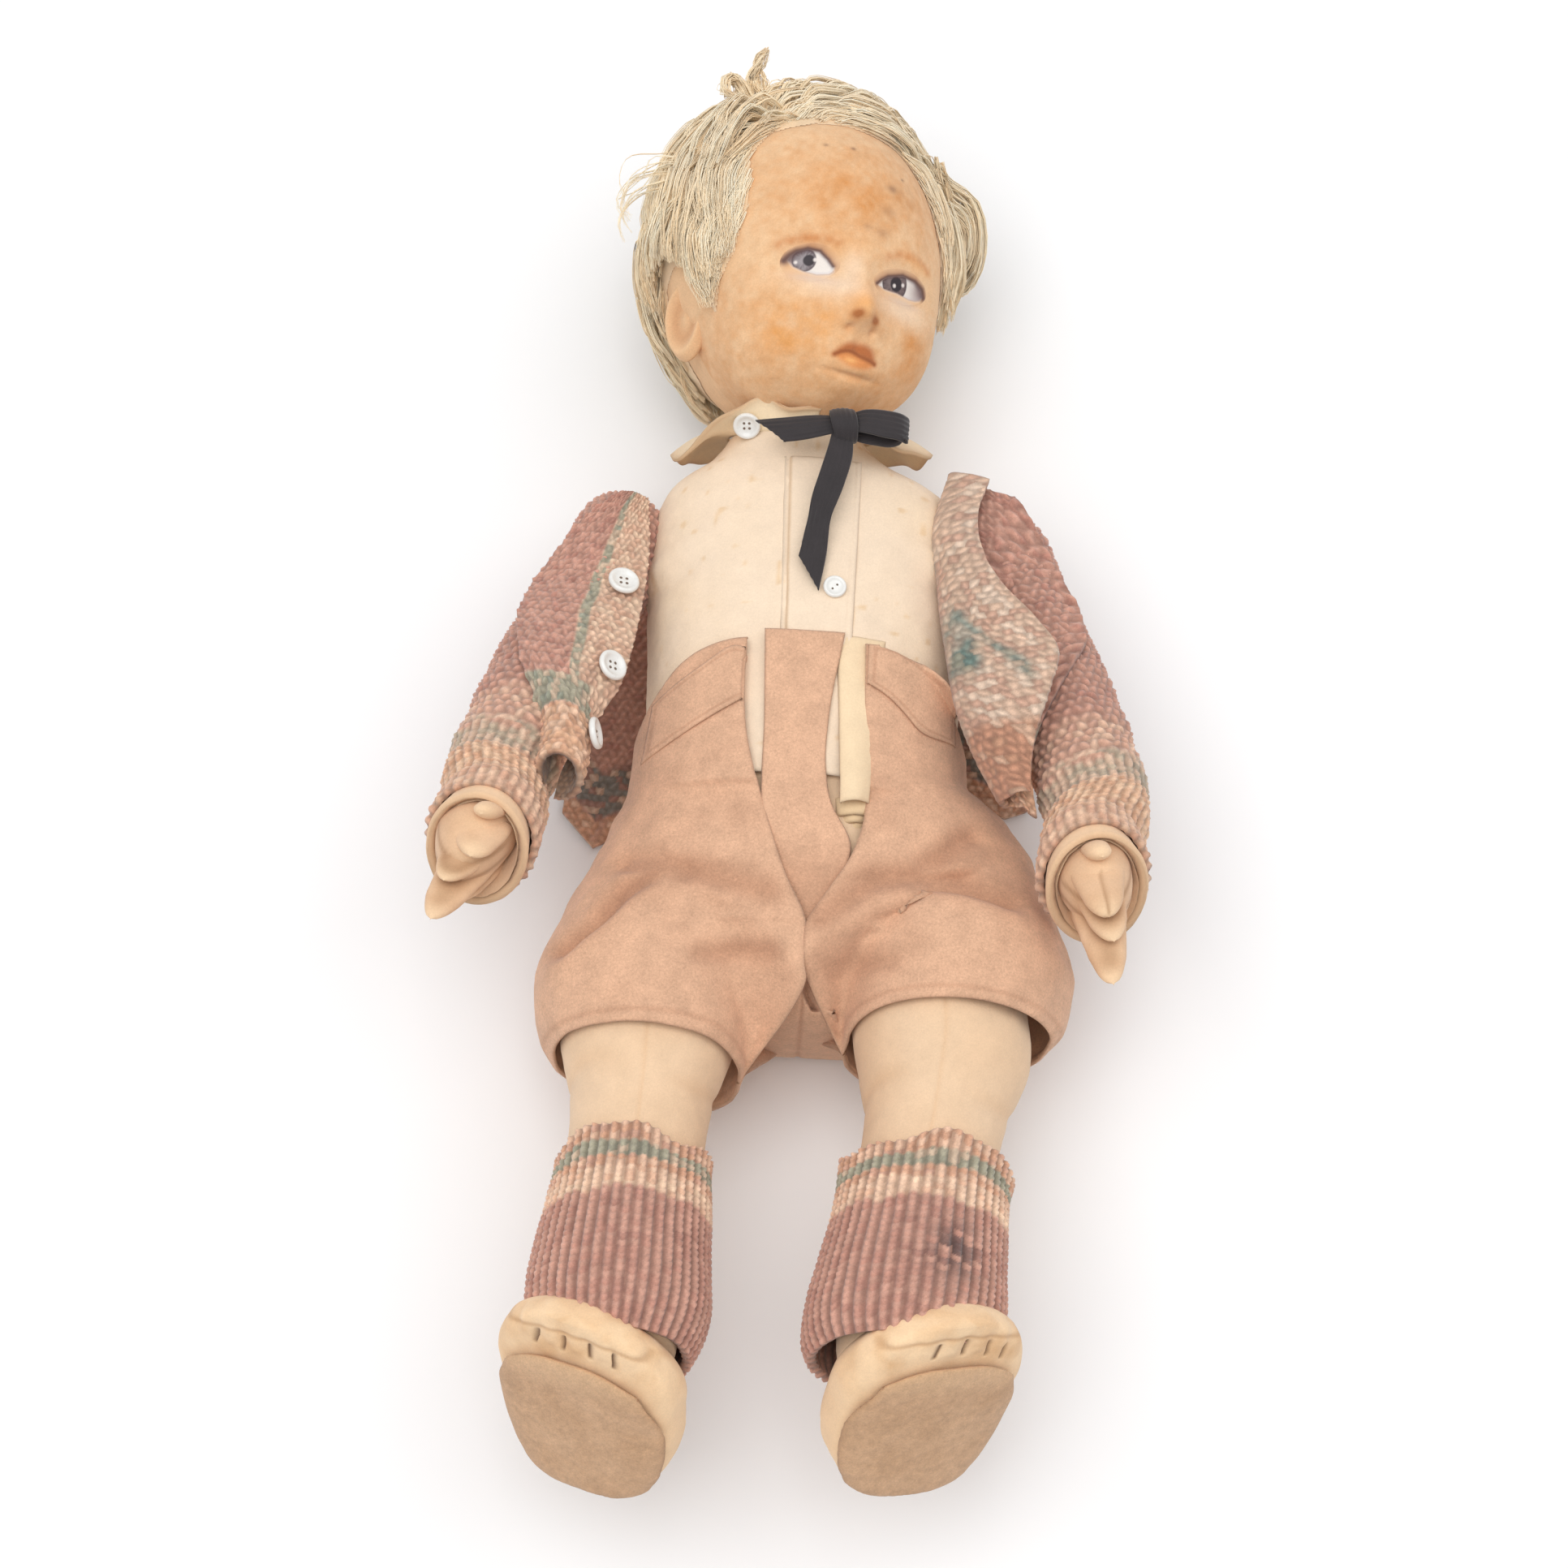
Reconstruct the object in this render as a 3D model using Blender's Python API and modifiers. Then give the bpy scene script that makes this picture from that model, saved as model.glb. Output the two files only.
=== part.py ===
# Felt doll lying on its back: stuffed felt body with disc joints, felt shirt and shorts,
# ribbon tie, knitted cardigan and socks. Metres. +Z is the doll's front, +Y runs to its head,
# +X is its own left. The floor it lies on is Z = 0.
import math

import bmesh
import bpy
from mathutils import Matrix, Vector

MM = 0.001
GAP = 0.4 * MM
X_AXIS = Vector((1, 0, 0))
Y_AXIS = Vector((0, 1, 0))
Z_AXIS = Vector((0, 0, 1))
SIDES = {"left": 1.0, "right": -1.0}

# An eight sided ring comes out this much smaller after one level of subdivision
RING_SHRINK = 0.925

# Joint points, in millimetres
HIP = Vector((0, -30, 34)) * MM
HIP_FACE_X = 14.8 * MM
TORSO_HIP_X = 13.8 * MM
SHOULDER = Vector((56, 74, 36)) * MM
ARM_FACE_X = 46.2 * MM
TORSO_SHOULDER_X = 40.5 * MM
NECK = Vector((-5, 113.5, 38.5)) * MM
NECK_AXIS = Vector((-0.041, 0.976, 0.2145)).normalized()
COLLAR_AXIS = Vector((-0.041, 0.95, 0.30)).normalized()
HEAD_RISE = 47 * MM
HEAD_YAW = math.radians(23.7)
LEG_RAISE = math.radians(15)
ARM_AXIS = Vector((0.251, -0.92, 0.3015)).normalized()

# Torso rings: y, half width, half depth, height of the centre, sideways shift, in millimetres
TORSO = [
    (-63, 24, 18, 34, 0), (-56, 36, 28, 34.5, 0), (-35, 41, 31, 34.5, 0), (-5, 42, 30, 35.5, 0),
    (20, 41, 28, 36, 0), (48, 42.5, 28, 35, 0), (74, 44, 26, 34, 0), (90, 37, 22.5, 34.5, -1),
    (101, 22, 18, 36, -4), (114, 17, 16, 38.5, -5),
]
# Leg rings: distance from the hip, shift inward, half width, half height, in millimetres
LEG = [
    (-21, 9, 12, 13), (-14, 8, 17.5, 21), (0, 6.5, 21.8, 24.5), (20, 2.5, 23, 24.5), (40, 0, 23.2, 23.5),
    (60, 0, 17.2, 17.8), (80, 0, 16, 16.5), (118, 0, 16, 16.5), (150, 0, 12, 13),
]
LEG_X = 39 * MM
# Foot rings: distance from heel to toe, half width, height above the sole, in millimetres
FOOT = [(-3, 10, 14), (4, 18, 24), (22, 20.5, 26), (46, 24, 19.5), (57, 20, 16), (61, 11, 12)]
HEEL = Vector((0, -184, 47)) * MM
FOOT_AXIS = Vector((0, 0.548, 0.837)).normalized()
SOLE_AXIS = Vector((0, -0.837, 0.548)).normalized()
# Arm rings: distance from the shoulder, half width, half height, in millimetres
ARM = [
    (-15, 7, 8), (-10, 11.5, 12.5), (0, 13, 14.5), (40, 10.4, 11.4), (84, 9, 10),
    (97, 8.5, 9), (110, 11.8, 13.2), (126, 11, 12.5), (136, 7, 8.5), (140, 3.5, 4.5),
]


def clear_scene():
    for obj in list(bpy.data.objects):
        bpy.data.objects.remove(obj, do_unlink=True)


def collection(name):
    found = bpy.data.collections.get(name)
    if found is None:
        found = bpy.data.collections.new(name)
        bpy.context.scene.collection.children.link(found)
    return found


def add_object(name, bm, group, parent=None):
    """Makes an object of the mesh, drawn in world places; it keeps them under its parent."""
    bmesh.ops.recalc_face_normals(bm, faces=bm.faces[:])
    mesh = bpy.data.meshes.new(name)
    bm.to_mesh(mesh)
    bm.free()
    obj = bpy.data.objects.new(name, mesh)
    collection(group).objects.link(obj)
    if parent is not None:
        obj.parent = parent
        obj.matrix_parent_inverse = parent.matrix_world.inverted()
    return obj


def helper(obj):
    obj.hide_render = True
    obj.display_type = "WIRE"
    return obj


def pivot(name, place, turn=None):
    """Empty on a joint's axis."""
    empty = bpy.data.objects.new(name, None)
    collection("Pivots").objects.link(empty)
    empty.matrix_world = Matrix.Translation(place) @ (turn.to_4x4() if turn else Matrix())
    bpy.context.view_layer.update()
    return empty


def basis(w, h, n):
    return Matrix((w, h, n)).transposed()


def ring_loops(bm, rings, sides):
    """One circle for each ring, joined to the next; gives back each ring's edges."""
    loops = []
    for centre, half_w, half_h, normal, across in rings:
        up = normal.cross(across)
        size = Matrix.Diagonal((half_w / RING_SHRINK, half_h / RING_SHRINK, 1.0)).to_4x4()
        place = Matrix.Translation(centre) @ basis(across, up, normal).to_4x4() @ size
        made = bmesh.ops.create_circle(bm, cap_ends=False, segments=sides, radius=1.0, matrix=place)
        verts = set(made["verts"])
        loops.append([e for e in bm.edges if e.verts[0] in verts and e.verts[1] in verts])
    for first, second in zip(loops, loops[1:]):
        bmesh.ops.bridge_loops(bm, edges=first + second)
    return loops


def subdivide(obj, levels=1):
    mod = obj.modifiers.new("Soft form", "SUBSURF")
    mod.levels = levels
    mod.render_levels = levels
    return mod


def solidify(obj, thickness, offset=1.0):
    mod = obj.modifiers.new("Thickness", "SOLIDIFY")
    mod.thickness = thickness
    mod.offset = offset
    mod.use_even_offset = True
    return mod


def boolean(obj, other, operation="DIFFERENCE"):
    mod = obj.modifiers.new(operation.title() + " " + other.name, "BOOLEAN")
    mod.operation = operation
    mod.solver = "EXACT"
    mod.object = other
    return mod


def stuffed(name, rings, group, parent=None, sides=8, levels=1):
    """Closed soft form round a row of rings."""
    bm = bmesh.new()
    loops = ring_loops(bm, rings, sides)
    bmesh.ops.edgeloop_fill(bm, edges=loops[0])
    bmesh.ops.edgeloop_fill(bm, edges=loops[-1])
    obj = add_object(name, bm, group, parent)
    subdivide(obj, levels)
    return obj


def tube(name, rings, thickness, group, parent=None, sides=8, levels=1):
    """Open cloth tube round a row of rings, thickened outward."""
    bm = bmesh.new()
    ring_loops(bm, rings, sides)
    obj = add_object(name, bm, group, parent)
    centre = sum((r[0] for r in rings), Vector()) / len(rings)
    face = obj.data.polygons[0]
    if (face.center - centre).dot(face.normal) < 0:
        obj.data.flip_normals()
    subdivide(obj, levels)
    solidify(obj, thickness)
    return obj


def grow(rings, by):
    return [(c, w + by, h + by, n, a) for c, w, h, n, a in rings]


def box(name, low, high, group="Cutters"):
    bm = bmesh.new()
    low = Vector(low)
    high = Vector(high)
    size = Matrix.Diagonal(high - low).to_4x4()
    bmesh.ops.create_cube(bm, size=1.0, matrix=Matrix.Translation((low + high) / 2) @ size)
    return helper(add_object(name, bm, group))


def rod_mesh(bm, start, end, radius, sides=20, radius_end=None):
    along = end - start
    turn = Z_AXIS.rotation_difference(along.normalized()).to_matrix().to_4x4()
    place = Matrix.Translation((start + end) / 2) @ turn
    far = radius if radius_end is None else radius_end
    bmesh.ops.create_cone(bm, cap_ends=True, segments=sides, radius1=radius, radius2=far,
                          depth=along.length, matrix=place)


def rod(name, start, end, radius, group, parent=None, sides=20):
    bm = bmesh.new()
    rod_mesh(bm, start, end, radius, sides)
    return add_object(name, bm, group, parent)


def washer(name, start, end, radius, bore, group, parent=None, sides=16):
    """Flat disc with a hole for the pin: a turned profile."""
    along = (end - start)
    normal = along.normalized()
    across = normal.orthogonal().normalized()
    bm = bmesh.new()
    corners = [start + across * bore, start + across * radius, end + across * radius, end + across * bore]
    verts = [bm.verts.new(c) for c in corners]
    edges = [bm.edges.new((verts[i], verts[(i + 1) % 4])) for i in range(4)]
    bmesh.ops.spin(bm, geom=verts + edges, cent=start, axis=normal, angle=math.tau, steps=sides,
                   use_merge=True)
    bmesh.ops.remove_doubles(bm, verts=bm.verts[:], dist=1e-6)
    return add_object(name, bm, group, parent)


def sheet(name, columns, rows, place, thickness, group, parent=None, target=None, lift=GAP):
    """Cloth sheet: a grid bent to the given places, laid on the target if there is one."""
    bm = bmesh.new()
    bmesh.ops.create_grid(bm, x_segments=columns, y_segments=rows, size=0.5)
    for vert in bm.verts:
        vert.co = place(vert.co.x + 0.5, vert.co.y + 0.5)
    obj = add_object(name, bm, group, parent)
    if sum((p.normal.z for p in obj.data.polygons)) < 0:
        obj.data.flip_normals()
    if target is not None:
        wrap = obj.modifiers.new("Laid on", "SHRINKWRAP")
        wrap.target = target
        wrap.wrap_method = "PROJECT"
        wrap.wrap_mode = "ABOVE_SURFACE"
        wrap.use_project_x = False
        wrap.use_project_y = False
        wrap.use_project_z = True
        wrap.use_positive_direction = False
        wrap.use_negative_direction = True
        wrap.offset = lift
    solidify(obj, thickness)
    return obj


def mix(a, b, t):
    return a + (b - a) * t


def quad(corners, height):
    """Place function of a flat four cornered sheet: corners as x, y in millimetres."""
    c = [Vector((x, y, 0)) * MM for x, y in corners]

    def place(u, v):
        point = mix(mix(c[0], c[1], u), mix(c[3], c[2], u), v)
        return Vector((point.x, point.y, height * MM))
    return place


def button(name, centre, normal, radius, thickness, group, parent):
    """Flat round button with a turned rim and a shallow dish."""
    normal = normal.normalized()
    across = normal.orthogonal().normalized()
    profile = [(0.0, 0.0), (0.8, 0.0), (1.0, 0.4), (0.94, 0.95), (0.78, 1.0), (0.62, 0.62), (0.0, 0.62)]
    bm = bmesh.new()
    verts = [bm.verts.new(centre + across * (r * radius) + normal * (h * thickness)) for r, h in profile]
    edges = [bm.edges.new((a, b)) for a, b in zip(verts, verts[1:])]
    bmesh.ops.spin(bm, geom=verts + edges, cent=centre, axis=normal, angle=math.tau, steps=14,
                   use_merge=True)
    bmesh.ops.remove_doubles(bm, verts=bm.verts[:], dist=1e-6)
    return add_object(name, bm, group, parent)


def sew_on(name, cloth, near, normal, clear, radius, thickness):
    """Button of the shirt, set on the finished cloth below a point by a small clearance."""
    bpy.context.view_layer.update()
    normal = normal.normalized()
    surface = cloth.evaluated_get(bpy.context.evaluated_depsgraph_get())
    _, place, _, _ = surface.ray_cast(near + normal * 20 * MM, -normal)
    return button(name, place + normal * clear, normal, radius, thickness, "Shirt", None)


# Torso with flat hip and shoulder faces and joint pockets
def torso_rings(first=0, last=None):
    return [(Vector((x, y, z)) * MM, w * MM, d * MM, Y_AXIS, X_AXIS) for y, w, d, z, x in TORSO[first:last]]


def build_torso():
    torso = stuffed("torso", torso_rings(), "Body")
    hip_top = HIP.y + 26.2 * MM
    for side, sign in SIDES.items():
        low = Vector((min(sign * TORSO_HIP_X, sign * 0.09), -0.09, -0.02))
        high = Vector((max(sign * TORSO_HIP_X, sign * 0.09), hip_top, 0.09))
        boolean(torso, box("hip space " + side, low, high))
        low = Vector((min(sign * TORSO_SHOULDER_X, sign * 0.09), 0.055, -0.02))
        high = Vector((max(sign * TORSO_SHOULDER_X, sign * 0.09), 0.1, 0.09))
        boolean(torso, box("shoulder space " + side, low, high))
        start = Vector((sign * (TORSO_HIP_X - 4.2 * MM), HIP.y, HIP.z))
        end = start + X_AXIS * sign * 9 * MM
        boolean(torso, helper(rod("torso hip pocket " + side, start, end, 12.5 * MM, "Cutters")))
        start = Vector((sign * (TORSO_SHOULDER_X - 4.0 * MM), SHOULDER.y, SHOULDER.z))
        end = start + X_AXIS * sign * 9 * MM
        boolean(torso, helper(rod("torso shoulder pocket " + side, start, end, 9.0 * MM, "Cutters")))
    flat = NECK - NECK_AXIS * 0.4 * MM
    boolean(torso, helper(rod("neck flat", flat, flat + NECK_AXIS * 30 * MM, 40 * MM, "Cutters")))
    low = NECK - NECK_AXIS * 4.4 * MM
    boolean(torso, helper(rod("torso neck pocket", low, low + NECK_AXIS * 9 * MM, 10.0 * MM, "Cutters")))
    return torso


def build_joint_hardware(pivots, torso_parts):
    """Fibre discs and a pin for each of the five joints."""
    for side, sign in SIDES.items():
        out = X_AXIS * sign
        hip = Vector((0, HIP.y, HIP.z))
        washer("hip_disc_body_" + side, hip + out * 11.0 * MM, hip + out * 13.2 * MM, 11.8 * MM, 1.7 * MM, "Joints")
        washer("hip_disc_leg_" + side, hip + out * 15.5 * MM, hip + out * 17.7 * MM, 11.8 * MM, 1.7 * MM, "Joints",
               pivots["hip_" + side])
        rod("hip_pin_" + side, hip + out * 10.2 * MM, hip + out * 18.5 * MM, 1.3 * MM, "Joints", None, 12)
        arm = Vector((0, SHOULDER.y, SHOULDER.z))
        washer("shoulder_disc_body_" + side, arm + out * 37.6 * MM, arm + out * 39.6 * MM, 8.4 * MM, 1.7 * MM, "Joints")
        washer("shoulder_disc_arm_" + side, arm + out * 47.0 * MM, arm + out * 49.0 * MM, 8.4 * MM, 1.7 * MM, "Joints",
               pivots["shoulder_" + side])
        rod("shoulder_pin_" + side, arm + out * 36.9 * MM, arm + out * 49.6 * MM, 1.3 * MM, "Joints", None, 12)
    up = NECK_AXIS
    washer("neck_disc_body", NECK - up * 3.6 * MM, NECK - up * 1.6 * MM, 9.4 * MM, 1.7 * MM, "Joints")
    washer("neck_disc_head", NECK + up * 1.6 * MM, NECK + up * 3.6 * MM, 9.4 * MM, 1.7 * MM, "Joints", pivots["neck"])
    rod("neck_pin", NECK - up * 4.1 * MM, NECK + up * 4.1 * MM, 1.3 * MM, "Joints", None, 12)


# Head: a round form with brow, sockets, nose, lips, cheeks and chin pressed into it
def head_frame():
    up = NECK_AXIS
    front = (Z_AXIS - up * Z_AXIS.dot(up)).normalized()
    front.rotate(Matrix.Rotation(HEAD_YAW, 3, up))
    left = up.cross(front)
    centre = NECK + up * HEAD_RISE
    return Matrix.Translation(centre) @ basis(left, up, front).to_4x4()


def bump(d, x, y, z, width):
    aim = Vector((x, y, z)).normalized()
    return math.exp(-((d - aim).length / width) ** 2)


def head_point(d):
    """Point of the head in its own frame for a unit direction: x left, y crown, z face."""
    p = Vector((40.5 * d.x, 47.5 * d.y, 43.0 * d.z))
    jaw = max(0.0, -d.y)
    p.x *= 1.0 - 0.16 * jaw
    if d.z > 0:
        p.z *= 1.0 - 0.10 * jaw * d.z
    push = 6.0 * bump(d, 0, -0.72, 0.69, 0.42)
    for s in (-1, 1):
        push += 3.6 * bump(d, 0.56 * s, -0.48, 0.68, 0.36)
        push -= 2.8 * bump(d, 0.37 * s, -0.23, 0.90, 0.17)
    push += 1.6 * bump(d, 0, -0.61, 0.79, 0.13)
    push += 5.0 * bump(d, 0, -0.36, 0.93, 0.12)
    push += 1.6 * bump(d, 0, 0.3, 0.95, 0.45)
    return (p + d * push) * MM


def sphere_mesh(around, up, form):
    """Ball of rings with its poles on the crown and the neck, shaped by the form."""
    bm = bmesh.new()
    bmesh.ops.create_uvsphere(bm, u_segments=around, v_segments=up, radius=1.0)
    for vert in bm.verts:
        d = Vector((vert.co.y, vert.co.z, vert.co.x)).normalized()
        vert.co = form(d)
    return bm


def build_head(parent):
    frame = head_frame()
    bm = sphere_mesh(24, 16, head_point)
    bm.transform(frame)
    head = add_object("head", bm, "Head", parent)
    up = NECK_AXIS
    low = NECK + up * 0.4 * MM
    boolean(head, helper(rod("head neck", low, low + up * 24 * MM, 16.0 * MM, "Cutters")), "UNION")
    boolean(head, helper(rod("head neck flat", low - up * 30 * MM, low, 45 * MM, "Cutters")))
    boolean(head, helper(rod("head neck pocket", low - up * 5 * MM, low + up * 4.0 * MM, 10.0 * MM, "Cutters")))

    bm = sphere_mesh(18, 12, lambda d: head_point(d) + d * 8.4 * MM)
    bm.transform(frame)
    wig = add_object("wig", bm, "Head", parent)
    bm = sphere_mesh(18, 12, lambda d: head_point(d) + d * 1.4 * MM)
    bm.transform(frame)
    boolean(wig, helper(add_object("wig room", bm, "Cutters", parent)))
    openings = {"face": ((3, -12, 45), (38, 52, 38)), "left cheek": ((38, -24, 17), (22, 25, 28)),
                "right cheek": ((-38, -24, 17), (22, 25, 28))}
    for name, (middle, radii) in openings.items():
        bm = sphere_mesh(16, 10, lambda d: Vector(middle) * MM + Vector([a * b for a, b in zip(d, radii)]) * MM)
        bm.transform(frame)
        boolean(wig, helper(add_object("hair opening " + name, bm, "Cutters", parent)))
    bm = bmesh.new()
    bmesh.ops.create_cube(bm, size=0.2, matrix=frame @ Matrix.Translation((0, -0.1 - 36 * MM, 0)))
    boolean(wig, helper(add_object("nape", bm, "Cutters", parent)))
    boolean(wig, box("floor under wig", (-0.2, 0.08, -0.05), (0.2, 0.3, 0.0)))

    tuft = []
    for rise, shift, radius in ((52, 0, 4.0), (58, 1.0, 6.0), (63, 3, 5.0), (68, 6, 2.0)):
        local = Vector((-10.0 - shift, rise, -2)) * MM
        tuft.append((frame @ local, radius * MM, radius * MM, NECK_AXIS, (frame.to_3x3() @ X_AXIS).normalized()))
    loose = stuffed("hair_tuft", tuft, "Head", parent, 6)
    bed = sphere_mesh(24, 14, lambda d: head_point(d) + d * 9.0 * MM)
    bed.transform(frame)
    boolean(loose, helper(add_object("tuft seat", bed, "Cutters", parent)))

    for side, sign in SIDES.items():
        rings = []
        for out, half in ((33, 4.0), (36, 7.0), (39, 8.4), (41, 6.4), (42.2, 2.5)):
            local = Vector((sign * out, -17, -1 - (out - 36) * 0.6)) * MM
            normal = (frame.to_3x3() @ Vector((sign, 0.0, -0.6))).normalized()
            across = (frame.to_3x3() @ Vector((0.6, 0, sign))).normalized()
            rings.append((frame @ local, half * 0.55 * MM, half * 1.2 * MM, normal, across))
        ear = stuffed("ear_" + side, rings, "Head", parent, 6)
        gap = sphere_mesh(24, 14, lambda d: head_point(d) + d * 0.35 * MM)
        gap.transform(frame)
        boolean(ear, helper(add_object("ear seat " + side, gap, "Cutters", parent)))
        boolean(wig, helper(box_round(rings, "ear room " + side, parent)))
    return head, wig


def box_round(rings, name, parent):
    """Room for a small soft form inside a thicker one."""
    obj = stuffed(name, grow(rings, 1.6 * MM), "Cutters", parent, 6)
    return obj


# Arms: stuffed felt with a mitten hand, thumb, knitted sleeve and cuff
def arm_frame(sign):
    along = Vector((ARM_AXIS.x * sign, ARM_AXIS.y, ARM_AXIS.z))
    across = (X_AXIS - along * X_AXIS.dot(along)).normalized()
    return along, across


def arm_rings(sign, rows):
    along, across = arm_frame(sign)
    start = Vector((SHOULDER.x * sign, SHOULDER.y, SHOULDER.z))
    return [(start + along * s * MM, w * MM, h * MM, along, across) for s, w, h in rows]


def build_arm(side, sign, parent):
    along, across = arm_frame(sign)
    start = Vector((SHOULDER.x * sign, SHOULDER.y, SHOULDER.z))
    up = along.cross(across)
    if up.z < 0:
        up = -up
    arm = stuffed("arm_" + side, arm_rings(sign, ARM), "Body", parent)
    inner = box("arm face " + side, (min(sign * ARM_FACE_X, 0), 0.02, -0.05), (max(sign * ARM_FACE_X, 0), 0.12, 0.12))
    boolean(arm, inner)
    axis = Vector((0, SHOULDER.y, SHOULDER.z))
    pocket = rod("arm pocket " + side, axis + X_AXIS * sign * 40 * MM, axis + X_AXIS * sign * 50 * MM, 9.0 * MM, "Cutters")
    boolean(arm, helper(pocket))

    thumb = []
    for s, rise, radius in ((111.5, 10.5, 2.2), (114, 12.8, 4.0), (119, 15.8, 4.2), (124.5, 18.0, 3.4), (128, 19.2, 1.5)):
        thumb.append((start + along * s * MM + up * rise * MM, radius * MM, radius * MM, (along + up * 0.6).normalized(), across))
    thumb_obj = stuffed("thumb_" + side, thumb, "Body", parent, 6)
    room = stuffed("thumb seat " + side, grow(arm_rings(sign, ARM[4:]), 0.4 * MM), "Cutters", parent)
    boolean(thumb_obj, helper(room))

    rows = [(-16, 10, 11), (-10, 13.2, 14.2), (0, 13.3, 14.8), (42, 12.2, 13.2), (87.5, 12.4, 13.6)]
    sleeve = tube("sleeve_" + side, arm_rings(sign, rows), 2.2 * MM, "Cardigan", parent)
    wall = (ARM_FACE_X + 0.2 * MM) * sign
    inner = box("sleeve face " + side, (min(wall, 0), 0.03, -0.05), (max(wall, 0), 0.13, 0.12))
    boolean(sleeve, inner)
    rows = [(88.1, 12.6, 13.8), (97, 13.6, 15), (108, 14.4, 15.8)]
    tube("cuff_" + side, arm_rings(sign, rows), 2.8 * MM, "Cardigan", parent)
    return arm


# Legs: stuffed felt with a foot, felt sole and knitted sock
def leg_rings(sign, rows):
    along = Vector((0, -math.cos(LEG_RAISE), math.sin(LEG_RAISE)))
    start = Vector((LEG_X * sign, HIP.y, HIP.z))
    return [(start + along * s * MM - X_AXIS * sign * i * MM, w * MM, h * MM, along, X_AXIS) for s, i, w, h in rows]


def build_leg(side, sign, parent):
    heel = Vector((sign * LEG_X, HEEL.y, HEEL.z))
    foot_rings = []
    for s, half, tall in FOOT:
        centre = heel + FOOT_AXIS * s * MM - SOLE_AXIS * (tall / 2 - 1.5) * MM
        foot_rings.append((centre, half * MM, tall / 2 * MM, FOOT_AXIS, X_AXIS))
    foot = helper(stuffed("foot form " + side, foot_rings, "Cutters", parent))
    leg = stuffed("leg_" + side, leg_rings(sign, LEG), "Body", parent)
    boolean(leg, foot, "UNION")
    turn = basis(X_AXIS, FOOT_AXIS, SOLE_AXIS).to_4x4()
    bm = bmesh.new()
    place = Matrix.Translation(heel + SOLE_AXIS * 10 * MM) @ turn @ Matrix.Diagonal((0.12, 0.2, 0.02, 1.0))
    bmesh.ops.create_cube(bm, size=1.0, matrix=place)
    boolean(leg, helper(add_object("sole flat " + side, bm, "Cutters", parent)))
    inner = HIP_FACE_X * sign
    boolean(leg, box("leg face " + side, (min(inner, 0), -0.1, -0.05), (max(inner, 0), 0.05, 0.12)))
    axis = Vector((0, HIP.y, HIP.z))
    pocket = rod("leg pocket " + side, axis + X_AXIS * sign * 8 * MM, axis + X_AXIS * sign * 19 * MM, 12.5 * MM, "Cutters")
    boolean(leg, helper(pocket))

    bm = bmesh.new()
    outline = []
    for s, half in ((1.5, 5), (4, 10), (10, 13.8), (20, 14.6), (32, 16), (44, 17.6), (52, 16.8), (57, 12), (59, 6)):
        outline.append((s, half))
    ring = [(half, s) for s, half in outline] + [(-half, s) for s, half in reversed(outline)]
    verts = [bm.verts.new(heel + X_AXIS * x * MM + FOOT_AXIS * s * MM + SOLE_AXIS * 0.3 * MM) for x, s in ring]
    face = bm.faces.new(verts)
    made = bmesh.ops.extrude_face_region(bm, geom=[face])
    moved = [g for g in made["geom"] if isinstance(g, bmesh.types.BMVert)]
    bmesh.ops.translate(bm, verts=moved, vec=SOLE_AXIS * 1.6 * MM)
    add_object("sole_" + side, bm, "Body", parent)

    rows = [(73, 0, 18.6, 19.1), (86, 0, 18.4, 19), (106, 0, 19.2, 19.8), (121, 0, 20.2, 20.6)]
    sock = tube("sock_" + side, leg_rings(sign, rows), 2.4 * MM, "Socks", parent)
    room = helper(stuffed("sock room " + side, grow(foot_rings, 0.5 * MM), "Cutters", parent))
    boolean(sock, room)
    return leg


# Shirt: felt bodice, placket, tail, collar and buttons
def build_shirt():
    rings = []
    rows = ((1, 42, 29.6, 35.6, 0), (20, 41, 28, 36, 0), (48, 42.5, 28, 35, 0), (74, 44, 26, 34, 0),
            (90, 37, 22.5, 34.5, -1), (101, 22.6, 18.6, 36, -4), (108.8, 18.6, 17.0, 37.6, -5))
    for y, w, d, z, x in rows:
        rings.append((Vector((x, y, z)) * MM, (w + 1.0) * MM, (d + 1.0) * MM, Y_AXIS, X_AXIS))
    shirt = tube("shirt_body", rings, 1.2 * MM, "Shirt")
    for side, sign in SIDES.items():
        axis = Vector((0, SHOULDER.y, SHOULDER.z))
        hole = rod("armhole " + side, axis + X_AXIS * sign * 34 * MM, axis + X_AXIS * sign * 60 * MM, 13.5 * MM, "Cutters")
        boolean(shirt, helper(hole))
    placket = sheet("shirt_placket", 4, 10, quad([(-6, 42), (12, 42), (12, 90), (-6, 90)], 95), 0.9 * MM, "Shirt", None, shirt)
    sheet("shirt_tail", 3, 7, quad([(13.2, 3), (20.5, 4), (20.5, 38), (13.2, 38)], 95), 0.9 * MM, "Shirt", None, shirt)

    up = COLLAR_AXIS
    across = (X_AXIS - up * X_AXIS.dot(up)).normalized()
    rings = []
    for rise, half_w, half_h in ((0.8, 20.0, 19.2), (-1.8, 24, 22), (-6.5, 33, 26.5)):
        rings.append((NECK + up * rise * MM, half_w * MM, half_h * MM, up, across))
    collar = tube("shirt_collar", rings, 1.1 * MM, "Shirt", None, 10)
    for mod in collar.modifiers:
        if mod.type == "SOLIDIFY":
            mod.offset = 0.0
    sew_on("collar_button", collar, Vector((-26.2, 108.35, 49.15)) * MM, Vector((-0.51, 0.70, 0.50)),
           0.57 * MM, 3.6 * MM, 2.2 * MM)
    sew_on("shirt_button", placket, Vector((6.65, 56.0, 64.3)) * MM, Vector((0.13, 0.09, 0.99)),
           0.41 * MM, 2.9 * MM, 1.6 * MM)
    return shirt, placket


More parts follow.
